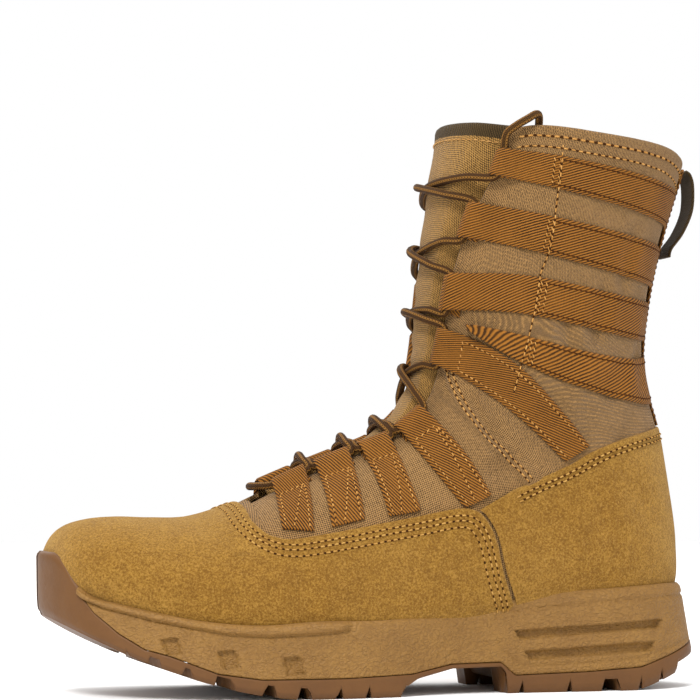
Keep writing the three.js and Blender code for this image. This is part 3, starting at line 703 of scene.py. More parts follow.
def nylon_material(name, light, dark):
    s = Shader(name, roughness=0.85, specular=0.12, sheen=0.08)
    across, along = s.cloth()
    wobble = s.math("MULTIPLY", s.noise(9, 2), 0.5)
    slant = s.math("ADD", s.math("MULTIPLY", across, 0.75), s.math("ADD", along, wobble))
    counter = s.math("SUBTRACT", s.math("MULTIPLY", along, 0.75), s.math("ADD", across, wobble))
    a = s.wave(slant, 1.75)
    b = s.wave(counter, 1.75)
    product = s.math("MULTIPLY", s.math("SUBTRACT", a, 0.5), s.math("SUBTRACT", b, 0.5))
    weave = s.math("MULTIPLY_ADD", product, 2.0)
    weave.node.inputs[2].default_value = 0.5
    speck = s.noise(0.9, 2, 0.7)
    # Painted shade: the weave's low places, which the bump also sinks, turn dark; the speck noise adds real
    # random flecks.
    weave_shade_and_speck = s.ramp(s.math("ADD", weave, speck), 0.7, 1.22)
    cloud = s.ramp(s.noise(24, 3), 0.3, 0.7)
    colour = s.mix(weave_shade_and_speck, dark, light)
    faded = s.mix(0.6, colour, light)
    colour = s.mix(s.math("MULTIPLY", cloud, 0.4), colour, faded)
    normal = s.bump(s.noise(3.0, 2), 0.3)
    return s.done(colour, s.bump(weave, 0.4, normal))


def webbing_material(name, light, dark):
    s = Shader(name, roughness=0.8, specular=0.12, sheen=0.03)
    across, along = s.cloth()
    slant = s.math("ADD", across, s.math("MULTIPLY", along, 0.55))
    slant = s.math("ADD", slant, s.math("MULTIPLY", s.noise(6, 2), 0.5))
    rib = s.wave(slant, 1.45)
    thread = s.wave(s.math("SUBTRACT", along, s.math("MULTIPLY", across, 0.2)), 0.8)
    speck = s.noise(0.8, 2, 0.7)
    # Painted shade: the grooves between the ribs, which the bump also sinks, turn dark; the speck noise adds
    # real random flecks.
    weave_shade_and_speck = s.ramp(s.math("ADD", rib, s.math("MULTIPLY", speck, 0.9)), 0.6, 1.25)
    colour = s.mix(weave_shade_and_speck, dark, light)
    cloud = s.ramp(s.noise(17, 3), 0.35, 0.75)
    colour = s.mix(s.math("MULTIPLY", cloud, 0.3), colour, light)
    height = s.math("ADD", rib, s.math("MULTIPLY", thread, 0.25))
    return s.done(colour, s.bump(height, 0.42))


def suede_material(name, light, dark, pale):
    s = Shader(name, roughness=0.95, specular=0.12, sheen=0.35)
    s.bsdf.inputs["Sheen Tint"].default_value = srgb(240, 205, 140)
    nap = s.noise(0.95, 4, 0.8)
    patch = s.noise(6, 4, 0.7)
    sweep = s.noise(46, 3, 0.5, (0.7, 1, 1.4))
    colour = s.mix(s.math("MULTIPLY", s.ramp(patch, 0.62, 0.36), 0.55), light, dark)
    colour = s.mix(s.math("MULTIPLY", s.ramp(sweep, 0.42, 0.7), 0.35), colour, pale)
    colour = s.mix(s.math("MULTIPLY", s.ramp(nap, 0.52, 0.4), 0.9), colour, dark)
    colour = s.mix(s.math("MULTIPLY", s.ramp(nap, 0.52, 0.62), 0.6), colour, pale)
    height = s.math("ADD", s.math("MULTIPLY", nap, 1.0), s.math("MULTIPLY", s.noise(2.8, 2), 0.8))
    return s.done(colour, s.bump(height, 0.8))


def rubber_material(name, light, dark, grain, rough):
    s = Shader(name, roughness=rough, specular=0.3)
    pebble = s.noise(2.6, 3, 0.6)
    if grain > 0.2:
        wrinkle = s.math("ABSOLUTE", s.math("SUBTRACT", s.noise(2.8, 2, 0.5, (1, 1, 1.5)), 0.5))
        pebble = s.math("MULTIPLY", s.math("ADD", pebble, s.math("MULTIPLY", wrinkle, 4.0)), 0.66)
    cloud = s.noise(20, 4, 0.6)
    colour = s.mix(s.math("MULTIPLY", s.ramp(cloud, 0.6, 0.35), 0.35), light, dark)
    colour = s.mix(s.math("MULTIPLY", s.ramp(pebble, 0.5, 0.3), 0.5 if grain > 0.2 else 0.15), colour, dark)
    scuffed = s.math("MULTIPLY_ADD", s.noise(3.5, 4, 0.7), 0.25)
    scuffed.node.inputs[2].default_value = rough - 0.12
    return s.done(colour, s.bump(pebble, grain * 1.6), scuffed)


def cord_material(name, light, dark):
    s = Shader(name, roughness=0.75, specular=0.12)
    around, along = s.cloth()
    left = s.wave(s.math("ADD", along, around), 1.5)
    right = s.wave(s.math("SUBTRACT", along, around), 1.5)
    braid = s.math("MAXIMUM", left, right)
    stripe = s.ramp(s.wave(around, math.pi * LACE / 4), 0.55, 0.85)
    colour = s.mix(s.math("MULTIPLY", stripe, s.ramp(braid, 0.35, 0.9)), dark, light)
    return s.done(colour, s.bump(braid, 0.3))


def thread_material(name, light, dark):
    s = Shader(name, roughness=0.8, specular=0.08)
    colour = s.mix(s.ramp(s.noise(5, 2), 0.35, 0.65), dark, light)
    return s.done(colour, s.bump(s.noise(0.5, 2), 0.08))


def lining_material(name, light, dark):
    s = Shader(name, roughness=0.9, specular=0.15, sheen=0.2)
    across, along = s.cloth()
    mesh_holes = s.math("MULTIPLY", s.wave(across, 2.4), s.wave(along, 2.4))
    colour = s.mix(s.ramp(mesh_holes, 0.5, 0.9), light, dark)
    return s.done(colour, s.bump(mesh_holes, -0.3))


def metal_material(name, light, dark):
    s = Shader(name, roughness=0.32, specular=0.5, metallic=1.0)
    worn = s.ramp(s.noise(2.2, 4, 0.7), 0.4, 0.7)
    return s.done(s.mix(worn, light, dark), s.bump(s.noise(1.1, 2), 0.04))


# For nylon, tongue nylon, webbing and binding the second colour is mostly painted shade, laid in the weave's
# hollows and rib grooves.
NYLON = nylon_material("nylon", srgb(148, 112, 67), srgb(34, 20, 7))
NYLON_TONGUE = nylon_material("tongue_nylon", srgb(156, 117, 60), srgb(42, 26, 9))
WEB = webbing_material("webbing", srgb(139, 89, 29), srgb(32, 16, 3))
SUEDE_SKIN = suede_material("suede", srgb(133, 96, 34), srgb(97, 62, 15), srgb(160, 122, 57))
# Painted shade: the suede's rolled-down edge is a little darker, for the shade where it turns down to the
# cloth.
SUEDE_SHADED_EDGE = suede_material("suede_edge_painted_shade", srgb(124, 88, 36), srgb(104, 68, 22), srgb(136, 100, 46))
FOAM = rubber_material("midsole_foam", srgb(125, 90, 39), srgb(97, 65, 24), 0.5, 0.6)
RUBBER = rubber_material("outsole_rubber", srgb(91, 57, 19), srgb(73, 43, 12), 0.1, 0.55)
CORD = cord_material("lace_cord", srgb(122, 84, 34), srgb(56, 34, 10))
THREAD = thread_material("light_thread", srgb(175, 135, 83), srgb(151, 110, 60))
CLOTH_THREAD = thread_material("cloth_thread", srgb(182, 136, 75), srgb(149, 104, 50))
# Dark thread for stitches; the same colour fills each vent eyelet's hole as painted shade.
DARK_THREAD_AND_VENT_SHADE = thread_material("dark_thread_and_vent_shade", srgb(73, 37, 5), srgb(52, 24, 3))
# Painted shade: dark marks between stitches for the shadow in each needle hole.
HOLE_SHADE = thread_material("stitch_hole_shade", srgb(61, 31, 3), srgb(45, 22, 2))
TAN_THREAD = thread_material("suede_thread", srgb(173, 134, 72), srgb(144, 104, 48))
BINDING = webbing_material("binding", srgb(70, 54, 28), srgb(46, 34, 16))
LINING = lining_material("lining", srgb(77, 52, 28), srgb(43, 26, 11))
NICKEL = metal_material("nickel", srgb(196, 186, 164), srgb(132, 116, 86))
insole_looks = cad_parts["insole"].data.materials
insole_looks.clear()
insole_looks.append(LINING)


# ---- upper ----------------------------------------------------------------------------------
def surface(u, v, out):
    """Points at rows and turns, that far out from the last."""
    u, v = np.broadcast_arrays(np.asarray(u, float), np.asarray(v, float))
    return on_last(u, v) + normal_at(u, v) * np.broadcast_to(out, u.shape)[..., None]


def shell_turn(u, c):
    """Turn at share c of the way from the lateral throat edge round the back to the medial one."""
    reach = throat_reach(u)
    lateral, medial = turn_at(u, reach), 1 + turn_at(u, -reach)
    return np.where(c <= 0.5, mix(lateral, 0.5, 2 * c), mix(0.5, medial, 2 * c - 1))


def signed_distance(u, v):
    """Distance from the front line for turns 0 to 1, minus on the medial side."""
    lateral = v <= 0.5
    return np.where(lateral, v * 2 * half_length(u, 1), (v - 1) * 2 * half_length(u, -1))


def build_upper():
    """The hollow cloth shell: outside, rolled rim, lining, and its edges at the throat."""
    parts = Parts()
    c = np.linspace(0, 1, 301)
    top = soften(collar_row(c, 500, shell_turn), 3)
    t = np.linspace(0, 1, 205)[:, None]
    u_out = mix(THROAT_ROW, top[None] - 0.09, t)
    v_out = shell_turn(u_out, c[None])
    puff = 0.5 * np.exp(-(((top[None] - u_out - 0.35) / 0.3) ** 2))
    raised = relief(u_out, signed_distance(u_out, v_out)) + puff
    rim_u = top[None] - np.array([0.045, 0.012, 0, 0, 0.012, 0.05])[:, None]
    rim_out = np.array([0.1, -0.1, -0.6, -WALL + 0.5, -WALL, -WALL])[:, None]
    u_in = mix(top[None] - 0.1, THROAT_ROW, np.linspace(0, 1, 56)[:, None] ** 0.9)
    u_all = np.concatenate([u_out, rim_u, u_in])
    out_all = np.concatenate([raised, np.broadcast_to(rim_out, rim_u.shape), np.full(u_in.shape, -WALL)])
    v_all = shell_turn(u_all, c[None])
    grid = surface(u_all, v_all, out_all)
    inner = np.repeat(np.arange(len(u_all) - 1) >= len(u_out) + 3, len(c) - 1).astype(int)
    parts.grid(grid, inner, flip=True)
    rows = np.linspace(THROAT_ROW, top[0] - 0.02, 190)
    for side in (1, -1):
        reach = throat_reach(rows)
        over = relief(rows, side * reach)
        steps = np.array([0, 0.12, 0.5, 0.88, 1])
        bulge = np.array([0, 0.75, 1.1, 0.75, 0])
        out = mix(over[:, None], -WALL, steps[None])
        edge = place(rows[:, None], side * (reach[:, None] - bulge[None]), out)
        parts.grid(edge, 0, flip=side > 0)
    toe_u = np.linspace(THROAT_ROW, 0.1, 40)[:, None]
    toe_v = np.linspace(0, 1, 120)[None]
    parts.grid(surface(toe_u, toe_v, -WALL + 0 * toe_u), 1, flip=False)
    parts.grid(surface(toe_u[:10], toe_v, 0 * toe_u[:10]), 0, flip=True)
    piece = parts.piece("upper_shell", [NYLON, LINING])
    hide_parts("upper")


# ---- suede ----------------------------------------------------------------------------------
def first_run(outline, v, low, high, skip=None, count=1400):
    """For each turn v, where the first stretch of rows inside the outline starts and ends."""
    rows = np.linspace(low, high, count)
    first, final = np.full(len(v), np.nan), np.full(len(v), np.nan)
    for k, turn in enumerate(v):
        p = on_last(rows, turn)
        hit = inside(outline, p[:, 0], p[:, 2])
        if skip is not None:
            hit &= ~inside(skip, p[:, 0], p[:, 2])
        if not hit.any():
            continue
        start = int(np.argmax(hit))
        misses = np.flatnonzero(~hit[start:])
        stop = start + (misses[0] if len(misses) else len(rows) - start) - 1
        first[k], final[k] = rows[start], rows[stop]
    return first, final


def soften(values, reach=2):
    """Running mean over reach values to each side."""
    kernel = np.ones(2 * reach + 1) / (2 * reach + 1)
    return np.convolve(np.pad(values, reach, mode="edge"), kernel, "valid")


VAMP_OUTLINE = np.concatenate([vamp_line, [[56, 20], [320, 20], [320, 130]]])
RESERVE_OUTLINE = np.concatenate([vamp_line + [-GAP, GAP], [[55.7, 20], [320, 20], [320, 131]]])
HEEL_OUTLINE = np.concatenate([heel_line, [[-80, 40], [90, 36]]])
SKIN_OUT = GAP + SUEDE


# The overlay's last four rows roll down to the cloth: by rows, by share of its height, and rise.
EDGE_ROWS = np.array([-0.04, -0.015, 0.0, 0.0])[:, None]
EDGE_SHARES = np.array([0.98, 0.9, 0.6, 0.0])[:, None]
EDGE_RISE = np.array([0, 0, 0, 0.1])[:, None]


def suede_panel(name, u, end, v, lift, side_shares=()):
    """An overlay over rows u and turns v, rolled down to the cloth at its end row."""
    u_all = np.concatenate([u, end[None] + EDGE_ROWS])
    out = lift + suede_relief(on_last(u_all, v[None]))
    out[-4:] = out[-4:] * EDGE_SHARES + EDGE_RISE
    for k, share in enumerate(side_shares):
        out[:, [k, -1 - k]] *= share
    parts = Parts()
    # The last two rows of faces take the darker suede: painted shade on the rolled-down edge.
    edge = np.repeat(np.arange(len(u_all) - 1) >= len(u_all) - 3, len(v) - 1).astype(int)
    parts.grid(surface(u_all, v[None], out), edge, flip=True)
    return parts.piece(name, [SUEDE_SKIN, SUEDE_SHADED_EDGE])


def build_vamp():
    """The suede overlay round the toe. Gives its edge on each side as rows and distances."""
    v = np.linspace(-0.42, 0.42, 521)
    _, end = first_run(VAMP_OUTLINE, v, 0.3, 14.5)
    end = soften(end)
    t = np.linspace(0, 1, 165)[:, None] ** 0.85
    piece = suede_panel("vamp_suede", mix(0.03, end[None] - 0.06, t), end, v, SKIN_OUT)
    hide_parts("vamp")
    side_edges = []
    for side in (1, -1):
        pick = (v * side >= 0) & (v * side < 0.4)
        turn, row = v[pick], end[pick]
        if side < 0:
            turn, row = turn[::-1], row[::-1]
        distance = turn * 2 * half_length(row, side)
        side_edges.append(np.stack([row, distance], 1))
    return side_edges


def build_heel():
    """The suede overlay round the heel, from the vamp's edge back, thinned at both its ends."""
    v = np.linspace(0.19, 0.81, 471)
    start, end = first_run(HEEL_OUTLINE, v, 11.4, 19.6, RESERVE_OUTLINE)
    good = np.isfinite(start) & (end - start > 0.15)
    v, start, end = v[good], soften(start[good]), soften(end[good])
    t = np.linspace(0, 1, 92)[:, None]
    u = mix(start[None] + 0.02, end[None] - 0.06, t)
    piece = suede_panel("heel_suede", u, end, v, SKIN_OUT - 0.25, (0.05, 0.6, 0.9))
    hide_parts("heel_quarter")


def side_route(line, side):
    """Rows and distances of a side view line where it lies on the last, on one side."""
    u = np.linspace(11, 20, 700)[:, None]
    v = np.linspace(0.15, 0.5, 420)[None]
    if side < 0:
        v = 1 - v
    points = on_last(u, v)
    places = []
    for x, z in line:
        k = np.argmin((points[..., 0] - x) ** 2 + (points[..., 2] - z) ** 2)
        i, j = divmod(int(k), v.shape[1])
        places.append([u[i, 0], float(signed_distance(u[i, 0], v[0, j]))])
    places = np.array(places)
    return np.stack([soften(places[:, 0], 2), soften(places[:, 1], 2)], 1)


def sew_suede(parts, edges, rows, above):
    """Rows of stitches inside a suede edge, by their distances from it in millimetres."""
    for side, edge in zip((1, -1), edges):
        even = even_places(edge, 1.5)
        smooth_edge = np.stack([soften(even[:, 0], 3), soften(even[:, 1], 3)], 1)
        for inward in rows:
            shifted = offset_places(smooth_edge, inward * side * above)
            u, distance = shifted[:, 0], shifted[:, 1]
            out = SKIN_OUT - 0.05 + suede_relief(place(u, distance))
            sew_at(parts, u, distance, out, long=2.3, pitch=3.3, thick=0.8, lift=0.1, hole=1)


build_upper()
vamp_edges = build_vamp()
build_heel()
seams = Parts()
sew_suede(seams, vamp_edges, (3.2, 5.6, 8.6), -1)
heel_seam = heel_line[(heel_line[:, 0] < 60) & (heel_line[:, 0] > -25)]
heel_seam = resample(heel_seam, 60)
sew_suede(seams, [side_route(heel_seam, side) for side in (1, -1)], (3.4, 5.8), -1)


# ---- webbing --------------------------------------------------------------------------------
# Each band's upper and lower edge as rows and distances. BACK runs on to the backstay.
BACK = 1e9
WEBS = {
    "tier_1": ([[21.5, 41], [21.55, 72], [21.55, BACK]], [[21.05, 38], [21.05, 72], [21.05, BACK]]),
    "tier_2": ([[20.5, 30], [20.6, 71], [20.8, BACK]], [[19.75, 26], [19.95, 70], [20.25, BACK]]),
    "tier_3": ([[18.85, 22], [19.5, 67], [20.05, BACK]], [[17.55, 20], [18.7, 67], [19.5, BACK]]),
    "tier_4": ([[17.5, 34], [18.15, 68], [19.3, BACK]], [[17.3, 36], [17.3, 68], [18.6, BACK]]),
    "diagonal": ([[16.9, 20], [17.12, 63], [16.3, 108]], [[14.8, 17], [15.2, 61], [15.1, 97]]),
    "tab_1": ([[8.95, 12], [8.8, 30], [8.65, 53]], [[8.1, 12], [7.95, 30], [7.9, 46]]),
    "tab_2": ([[9.95, 13], [9.85, 34], [9.75, 55]], [[9.15, 12], [9.1, 34], [9.05, 54]]),
    "tab_3": ([[11.1, 15], [11, 38], [10.95, 59]], [[10.2, 13], [10.25, 36], [10.25, 57]]),
    "tab_4": ([[12.5, 18], [12.55, 48], [12.45, 73]], [[11.4, 15], [11.6, 45], [11.8, 69]]),
}
SIDES = {"lateral": 1, "medial": -1}
WEB_END = 6.5
WEB_THICK = 1.4
WEB_BASE = 0.95
LOOP_R = 2.75
LOOP_UNDER = 0.8
LOOP_MIDDLE = LOOP_UNDER + LOOP_R
LOOP_DEEP = LOOP_R + 0.7
FOLD_START = 15
SIDE_SEAM_REACH = 66


def web_edges(name, side, count):
    """The two edges of a band as rows and distances, from the lace loop to the far end."""
    edges = []
    for places in WEBS[name]:
        u = np.array([p[0] for p in places], float)
        scale = 1 if side > 0 else half_length(u, -1) / half_length(u, 1)
        d = np.minimum([p[1] for p in places], half_length(u, 1) - WEB_END) * scale
        edges.append(curve(np.stack([u, d], 1), count))
    return edges


def band_places(name, side, count, across):
    upper, lower = web_edges(name, side, count)
    share = np.linspace(0, 1, across)[None, :, None]
    return mix(upper[:, None], lower[:, None], share)


def web_cover(u, distance, side):
    """1 where a band lies over a place on that side."""
    covered = np.zeros(np.shape(u))
    for name in WEBS:
        upper, lower = web_edges(name, side, 40)
        high = np.interp(distance, upper[:, 1], upper[:, 0], left=-1, right=-1)
        low = np.interp(distance, lower[:, 1], lower[:, 0], left=99, right=99)
        covered = np.maximum(covered, ((u > low) & (u < high)).astype(float))
    return covered


def build_web(name, side):
    """One band of webbing, folded back under itself at the front into a lace loop."""
    parts = Parts()
    tab = name.startswith("tab")
    count, across = 44 if tab else 70, 17
    flat = band_places(name, side, count, across)
    u, d = flat[..., 0], flat[..., 1]
    sums = lengths_along(on_last(u, turn_at(u, side * d)), 0)[:, across // 2]
    keep = sums > FOLD_START
    u_flat, d_flat = u[keep][::-1], d[keep][::-1]
    base = WEB_BASE + np.maximum(relief(u_flat, side * d_flat), -0.6)
    stations_u, stations_d, stations_out = [u_flat], [d_flat], [base]
    nose_u, nose_d = u[0], d[0]
    nose_out = relief(nose_u, side * nose_d) * 0.5
    top = LOOP_MIDDLE + LOOP_R
    join = base[-1]
    for s in np.linspace(0.08, 1, 12):
        delta = mix(FOLD_START, LOOP_DEEP, s)
        k = np.interp(delta, sums, np.arange(count))
        i = int(min(count - 2, k))
        f = k - i
        stations_u.append(mix(u[i], u[i + 1], f)[None])
        stations_d.append(mix(d[i], d[i + 1], f)[None])
        stations_out.append(mix(join, top + nose_out, smooth(s) ** 1.15)[None])
    for a in np.linspace(80, -90, 11):
        c, h = math.cos(math.radians(a)), math.sin(math.radians(a))
        stations_u.append(nose_u[None])
        stations_d.append((nose_d + LOOP_DEEP - LOOP_R * c)[None])
        stations_out.append((nose_out + LOOP_MIDDLE + LOOP_R * h)[None])
    for delta in (5.5, 7.5, 9.5):
        stations_u.append(nose_u[None])
        stations_d.append((nose_d + delta)[None])
        stations_out.append((nose_out + LOOP_UNDER - 0.25)[None])
    grid_u, grid_d = np.concatenate(stations_u), np.concatenate(stations_d)
    out = np.concatenate(stations_out)
    middle = place(grid_u, side * grid_d, out)
    if side > 0:
        middle = middle[:, ::-1]
    slab(parts, middle, WEB_THICK, 0.8)
    label = "lateral" if side > 0 else "medial"
    piece = parts.piece(f"web_{label}_{name}", [WEB])
    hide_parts(f"{label}_{name}")


def sew_web(parts, name, side):
    """Rows of stitches on a band: across under its loop, down its sides, and at the seam."""
    upper, lower = web_edges(name, side, 120)
    tab = name.startswith("tab")
    middle = mix(upper, lower, 0.5)
    sums = lengths_along(on_last(middle[:, 0], turn_at(middle[:, 0], side * middle[:, 1]))[:, None], 0)[:, 0]

    def row(shares, stations, material, **style):
        u = mix(upper[stations, 0], lower[stations, 0], shares)
        d = mix(upper[stations, 1], lower[stations, 1], shares)
        near = smooth((FOLD_START - sums[stations]) / 12)
        out = WEB_BASE + WEB_THICK / 2 - 0.12 + np.maximum(relief(u, side * d), -0.6) + near * 3.4
        sew_at(parts, u, side * d, out, material=material, **style)

    style = dict(long=1.9, pitch=2.7, thick=0.62, lift=0.05, hole=2)
    ends = np.arange(0, 120)
    if tab or name == "diagonal":
        for at in (10.5, 13.0):
            i = int(np.argmin(np.abs(sums - at)))
            cross = np.full(16, i)
            row(np.linspace(0.1, 0.9, 16), cross, 0, slant=0.35, **style)
        far = ends[(sums > 13.5) & (sums < sums[-1] - 1)]
        for share in (0.13, 0.87):
            row(np.full(len(far), share), far, 0, **style)
        if tab:
            row(np.linspace(0.2, 0.62, len(far)), far, 0, **style)
    else:
        seam = int(np.argmin(np.abs(middle[:, 1] - SIDE_SEAM_REACH)))
        far = ends[ends > seam]
        for share in (0.12, 0.88):
            row(np.full(len(far), share), far, 1, **style)
        for shift in (-1.0, 1.2):
            i = int(np.argmin(np.abs(sums - sums[seam] - 3 - shift)))
            row(np.linspace(0.06, 0.94, 14), np.full(14, i), 0, slant=0.5, **style)


for side_name, side_sign in SIDES.items():
    for web_name in WEBS:
        build_web(web_name, side_sign)
web_seams = Parts()
for side_sign in SIDES.values():
    for web_name in WEBS:
        sew_web(web_seams, web_name, side_sign)


def sew_cloth(parts, route, side, inwards, rise=0.0, **style):
    """Stitches on the cloth along a route, over any band that crosses it."""
    even = surface_line([[u, side * d] for u, d in route])
    for inward in inwards:
        shifted = offset_places(even, inward * side) if inward else even
        u, d = shifted[:, 0], shifted[:, 1]
        cover = soften(web_cover(u, np.abs(d), side), 1) * (WEB_BASE + WEB_THICK / 2)
        out = relief(u, d) + cover + rise
        sew_at(parts, u, d, out, **style)


SIDE_SEAM = [[21.75, 71], [20.6, 71], [19.95, 70], [19.5, 67.5], [18.7, 67], [17.3, 64.5], [16.0, 62.5]]
for side_sign in SIDES.values():
    sew_cloth(web_seams, SIDE_SEAM, side_sign, (0,), long=2.4, pitch=3.4, thick=0.75, lift=0.15, hole=2)
    sew_cloth(web_seams, LAP, side_sign, (2.0, 4.6), long=2.2, pitch=3.2, thick=0.7, lift=0.1, hole=2)


def sew_collar(parts):
    """Two rows of heavy stitches under the collar's edge."""
    for drop, style in ((0.2, dict(long=2.8, pitch=4.2, thick=1.0, hole=2)),
                        (0.38, dict(long=2.4, pitch=3.7, thick=0.8, hole=2))):
        v = np.linspace(0.145, 0.855, 330)
        u = soften(collar_row(v, 600), 4) - drop
        d = signed_distance(u, v)
        puff = 0.5 * np.exp(-(((drop - 0.35) / 0.3) ** 2))
        line = surface(u, v, relief(u, d) + puff - 0.05)
        stitch_row(parts, line, normal_at(u, v), lift=0.1, **style)


sew_collar(web_seams)
piece = web_seams.piece("cloth_stitches", [CLOTH_THREAD, DARK_THREAD_AND_VENT_SHADE, HOLE_SHADE])


# ---- backstay and pull loop -----------------------------------------------------------------
def build_backstay():
    """The tape down the back seam, with its two rows of stitches."""
    parts = Parts()
    rows = np.linspace(18.2, 21.95, 90)[:, None]
    share = np.linspace(-1, 1, 17)[None]
    v = 0.5 + share * turn_at(rows, 8.5)
    out = relief(rows, signed_distance(rows, v)) * 0.7 + 1.7
    slab(parts, surface(rows, v, out), 1.4, 0.8)
    piece = parts.piece("backstay_tape", [WEB])
    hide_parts("backstay")
    seams = Parts()
    for offset in (-6.3, 6.3):
        u = np.linspace(18.3, 21.9, 120)
        v = 0.5 + turn_at(u, 1.0) * offset
        line = surface(u, v, relief(u, signed_distance(u, v)) * 0.7 + 2.35)
        stitch_row(seams, line, normal_at(u, v), long=2.2, pitch=2.9, thick=0.62)
    piece = seams.piece("backstay_stitches", [DARK_THREAD_AND_VENT_SHADE])


PULL_LOOP = np.array([
    [-44.2, 251.4], [-46.6, 249.5], [-48.0, 243.5], [-47.2, 232], [-42.3, 221], [-36.4, 213.2], [-35.2, 209],
])


def build_pull_loop():
    """A strip of tape that stands off the back from the collar down to the backstay."""
    parts = Parts()
    line = curve(PULL_LOOP, 60)
    y = np.linspace(-8, 8, 15)
    sag = 0.5 * (1 - (y / 8) ** 2)
    middle = np.stack([
        line[:, None, 0] - sag[None] * 0.6 + 0 * y[None],
        np.broadcast_to(y[None], (60, 15)),
        line[:, None, 1] + 0 * y[None],
    ], -1)
    slab(parts, middle, 1.5, 0.7)
    piece = parts.piece("pull_loop_tape", [BINDING])
    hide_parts("pull_loop")


build_backstay()
build_pull_loop()


# ---- tongue ---------------------------------------------------------------------------------
TONGUE_TOP = 21.97
TONGUE_TUCK = 6.0
TONGUE_SEAM_DROP = 0.34


def tongue_middle(u, share):
    """Height of the tongue's outer face over the last."""
    reach = throat_reach(u)
    inward = np.abs(share) * (reach + TONGUE_TUCK)
    tuck = smooth((inward - reach * 0.55) / (reach * 0.45))
    crown = 1.0 + 1.3 * smooth((u - 8.2) / 3) * (1 - 0.5 * smooth((u - 20) / 2))
    folds = 0.35 * np.sin(u * 5.2 + 0.8 * share) * (1 - tuck)
    return mix(crown + folds, -WALL - 1.3, tuck)


def build_tongue():
    """The padded tongue, its bound top and its row of stitches."""
    parts = Parts()
    u = np.linspace(THROAT_ROW + 0.5, TONGUE_TOP - 0.12, 190)[:, None]
    share = np.linspace(-1, 1, 91)[None]
    tip = np.array([0.06, 0.02, 0.0, 0.02, 0.08])[:, None]
    u_tip = TONGUE_TOP - tip
    u_in = np.linspace(TONGUE_TOP - 0.12, THROAT_ROW + 0.5, 40)[:, None]
    rows = np.concatenate([u, u_tip, u_in])
    thick = np.concatenate([0 * u, [[0.35], [1.2], [2.6], [4.0], [4.6]], 0 * u_in + 5.0])
    thin = mix(1.0, 0.5, smooth((np.abs(share) - 0.5) / 0.4))
    out = tongue_middle(rows, share) - thick * thin
    d = share * (throat_reach(rows) + TONGUE_TUCK)
    grid = place(rows, d, out)
    face_rows = rows[:-1, 0]
    cell = np.where((face_rows > TONGUE_TOP - 0.3) & (np.arange(len(face_rows)) < len(u) + 2), 1, 0)
    cell[len(u) + 3:] = 2
    parts.grid(grid, np.repeat(cell, share.shape[1] - 1), flip=False)
    for edge_share in (-1, 1):
        d_edge = edge_share * (throat_reach(u[:, 0]) + TONGUE_TUCK)
        top = tongue_middle(u, np.array([[float(edge_share)]]))
        strip = place(u, d_edge[:, None], top - np.array([[0, 1.2, 2.5]]))
        parts.grid(strip, 0, flip=edge_share < 0)
    piece = parts.piece("tongue_pad", [NYLON_TONGUE, BINDING, LINING])
    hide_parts("tongue")
    seams = Parts()
    share = np.linspace(-0.8, 0.8, 90)
    u_row = np.full(90, TONGUE_TOP - TONGUE_SEAM_DROP)
    d_row = share * (throat_reach(u_row) + TONGUE_TUCK)
    sew_at(seams, u_row, d_row, tongue_middle(u_row, share) + 0.05, long=2.4, pitch=3.2, thick=0.7)
    piece = seams.piece("tongue_stitches", [THREAD])


build_tongue()


# ---- lace -----------------------------------------------------------------------------------
LOOP_NAMES = ["tier_1", "tier_2", "tier_3", "diagonal", "tab_4", "tab_3", "tab_2", "tab_1"]
# A free end's places: row, distance, height over the last. It goes over the collar and inside.
LACE_END = [[21.58, 42, 5], [21.75, 45, 5.2], [21.92, 49, 5.2], [22.08, 53.5, 4.2], [22.2, 56.5, 1.2],
            [22.2, 58, -2.4], [22.02, 58.5, -5.4], [21.8, 58.5, -6], [21.55, 58.5, -6.3]]


def loop_ends(k, side):
    """Where the lace goes in and out of a loop: two places of row, distance and height."""
    name = LOOP_NAMES[k]
    upper, lower = web_edges(name, side, 30)
    return [[edge[0, 0] + lift, side * (edge[0, 1] + LOOP_DEEP - 0.2), LOOP_MIDDLE]
            for edge, lift in ((upper, 0.02), (lower, -0.02))]


def lace_route(first_side):
    """Places of one half of the lace, from the top loop to the bottom one."""
    places, side = [], first_side
    for k in range(len(LOOP_NAMES)):
        enter, leave = loop_ends(k, side)
        places += [enter, [(enter[0] + leave[0]) / 2, (enter[1] + leave[1]) / 2, LOOP_MIDDLE], leave]
        if k == len(LOOP_NAMES) - 1:
            break
        target = loop_ends(k + 1, -side)[0]
        middle = 4.6 if side > 0 else 7.6
        for t in (0.2, 0.5, 0.8):
            arch = math.sin(math.pi * t) ** 0.8
            u = mix(leave[0], target[0], smooth(t) * 0.5 + t * 0.5)
            places.append([u, mix(leave[1], target[1], t), mix(LOOP_MIDDLE, middle, arch)])
        side = -side
    return places, side


def through(places, step=0.9):
    """An evenly spaced line through places of row, distance and height."""
    places = np.array(places, float)
    points = place(places[:, 0], places[:, 1], places[:, 2])
    dense = curve(points, 24 * len(points))
    return resample(dense, int(whole_length(dense) / step))


def build_lace():
    """The lace through all the loops, and its two free ends over the collar."""
    first, end_side = lace_route(1)
    second, _ = lace_route(-1)
    last_u = first[-1][0]
    bar = [[last_u - 0.3, end_side * 8, 4.2], [last_u - 0.36, 0, 4.4], [last_u - 0.3, -end_side * 8, 4.2]]
    whole = first + bar + second[::-1]
    parts = Parts()
    tube(parts, through(whole), LACE / 2, 12)
    piece = parts.piece("lace_run", [CORD])
    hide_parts(*[f"lace_crossing_{k}" for k in range(1, 8)], "lace_bar")
    for name, side in SIDES.items():
        start = loop_ends(0, side)[0]
        route = [start] + [[u, side * d, out] for u, d, out in LACE_END[1:]]
        line = through(route)
        end = Parts()
        tube(end, line, LACE / 2, 12)
        piece = end.piece(f"lace_end_{name}_cord", [CORD])
        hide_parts(f"lace_end_{name}")


build_lace()


